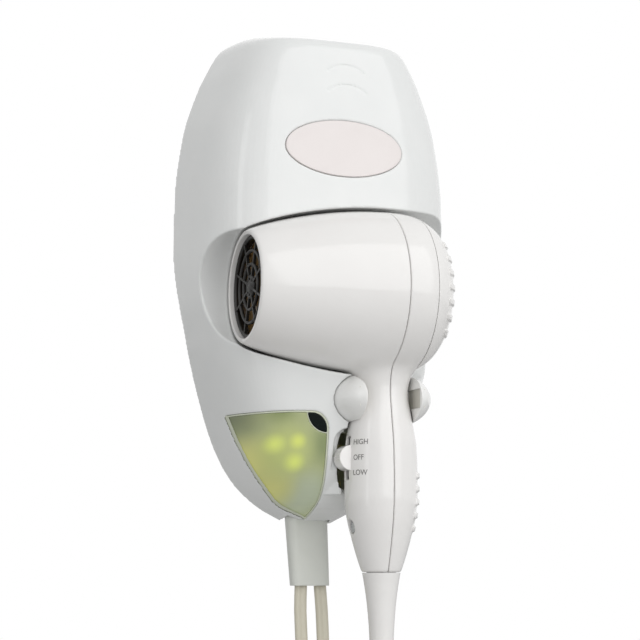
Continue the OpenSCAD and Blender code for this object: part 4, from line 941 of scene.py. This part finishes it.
def printed_word(word, middle_turn, z):
    """A thin printed word, wrapped on the handle at a height."""
    text = bpy.data.curves.new("word", "FONT")
    text.body, text.size, text.extrude = word, word_h / capital_share, ink_t
    text.align_x = text.align_y = "CENTER"
    holder = linked("word", text)
    mesh = final_mesh(holder)
    bpy.data.objects.remove(holder)
    bm = bmesh.new()
    bm.from_mesh(mesh)
    bmesh.ops.remove_doubles(bm, verts=bm.verts, dist=1e-4)
    bmesh.ops.triangulate(bm, faces=bm.faces)
    bmesh.ops.subdivide_edges(bm, edges=[e for e in bm.edges if e.calc_length() > 0.6], cuts=2)
    for v in bm.verts:
        t = (axis_z - (z + v.co.y)) / handle_drop
        a, b = smooth_curve(handle_form, t, 1), smooth_curve(handle_form, t, 2)
        turn = radians(middle_turn) - v.co.x / a
        lift = 1 + (ink_lift + v.co.z) / a
        x, y = handle_x - lift * a * sin(turn), -axis_depth - lift * b * cos(turn)
        v.co = MM * Vector((x, y, z + v.co.y))
    bm.to_mesh(mesh)
    bm.free()
    return mesh


words = bmesh.new()
for word, turn, z in (("HIGH", 56, -87.5), ("OFF", 59, -94.9), ("LOW", 56, -102.2)):
    one = printed_word(word, turn, z)
    words.from_mesh(one)
    bpy.data.meshes.remove(one)
lettering = fitted(as_object("lettering", words), "switch_lettering", "handset", "grille_black", angle=0)
dress(finish("printing_ink", (104, 103, 101), (126, 124, 122), (0.4, 0.5), 0.005), lettering)


# ---- motor and fan ---------------------------------------
# A small direct-current motor in a white carrier with guide vanes, and a fan of nine blades on its shaft,
# behind the heater. The thermostat and the fuse stand on the mica boards.
motor_steel = finish("motor_steel", (150, 152, 154), (182, 184, 186), (0.2, 0.34), 0.02, 200, 2200,
                     Metallic=1.0)
dress(motor_steel, "motor_can", "motor_shaft", "thermostat", "thermal_fuse")
carrier_nylon = finish("carrier_nylon", (214, 212, 204), (228, 226, 218), (0.4, 0.55), 0.04)
dress(carrier_nylon, "motor_carrier", "fan_impeller")


# ---- floor and light -------------------------------------
# A pale floor below the hanging plug, a large soft lamp from the right and above, a weaker one from the
# left, and a white surround that the gloss of the mouldings shows.
floor_z, floor_half_w = -0.47, 6
floor_bm = bmesh.new()
bmesh.ops.create_grid(floor_bm, x_segments=1, y_segments=1, size=floor_half_w,
                      matrix=Matrix.Translation((0, 0, floor_z)))
studio_floor = as_object("studio_floor", floor_bm)
dress(finish("floor_paint", (206, 206, 206), (214, 214, 214), (0.7, 0.85)), studio_floor)


def soft_lamp(name, place, wide, high, watts, aim=(0, 0, -0.05)):
    data = bpy.data.lights.new(name, "AREA")
    data.shape, data.size, data.size_y, data.energy = "RECTANGLE", wide, high, watts
    lamp = linked(name, data)
    lamp.location = place
    lamp.rotation_euler = (Vector(aim) - Vector(place)).to_track_quat("-Z", "Y").to_euler()


soft_lamp("key_lamp", (0.6, -2.6, 1.4), 3.8, 3.8, 69)
soft_lamp("side_lamp", (-1.9, -1.0, 0.3), 0.35, 1.8, 3)

world = bpy.data.worlds.new("studio_world")
bpy.context.scene.world = world
world.use_nodes = True
made, links = world.node_tree.nodes, world.node_tree.links
ambient, white = made["Background"], made.new("ShaderNodeBackground")
put(ambient, Color=(1, 1, 1, 1), Strength=0.44)
put(white, Color=(1, 1, 1, 1), Strength=1)
rays = made.new("ShaderNodeLightPath")
seen = rays.outputs["Is Camera Ray"]
for kind in ("Is Glossy Ray", "Is Transmission Ray"):
    either = made.new("ShaderNodeMath")
    either.operation = "MAXIMUM"
    links.new(seen, either.inputs[0])
    links.new(rays.outputs[kind], either.inputs[1])
    seen = either.outputs[0]
surround = made.new("ShaderNodeMixShader")
links.new(seen, surround.inputs["Fac"])
links.new(ambient.outputs[0], surround.inputs[1])
links.new(white.outputs[0], surround.inputs[2])
links.new(surround.outputs[0], made["World Output"].inputs["Surface"])
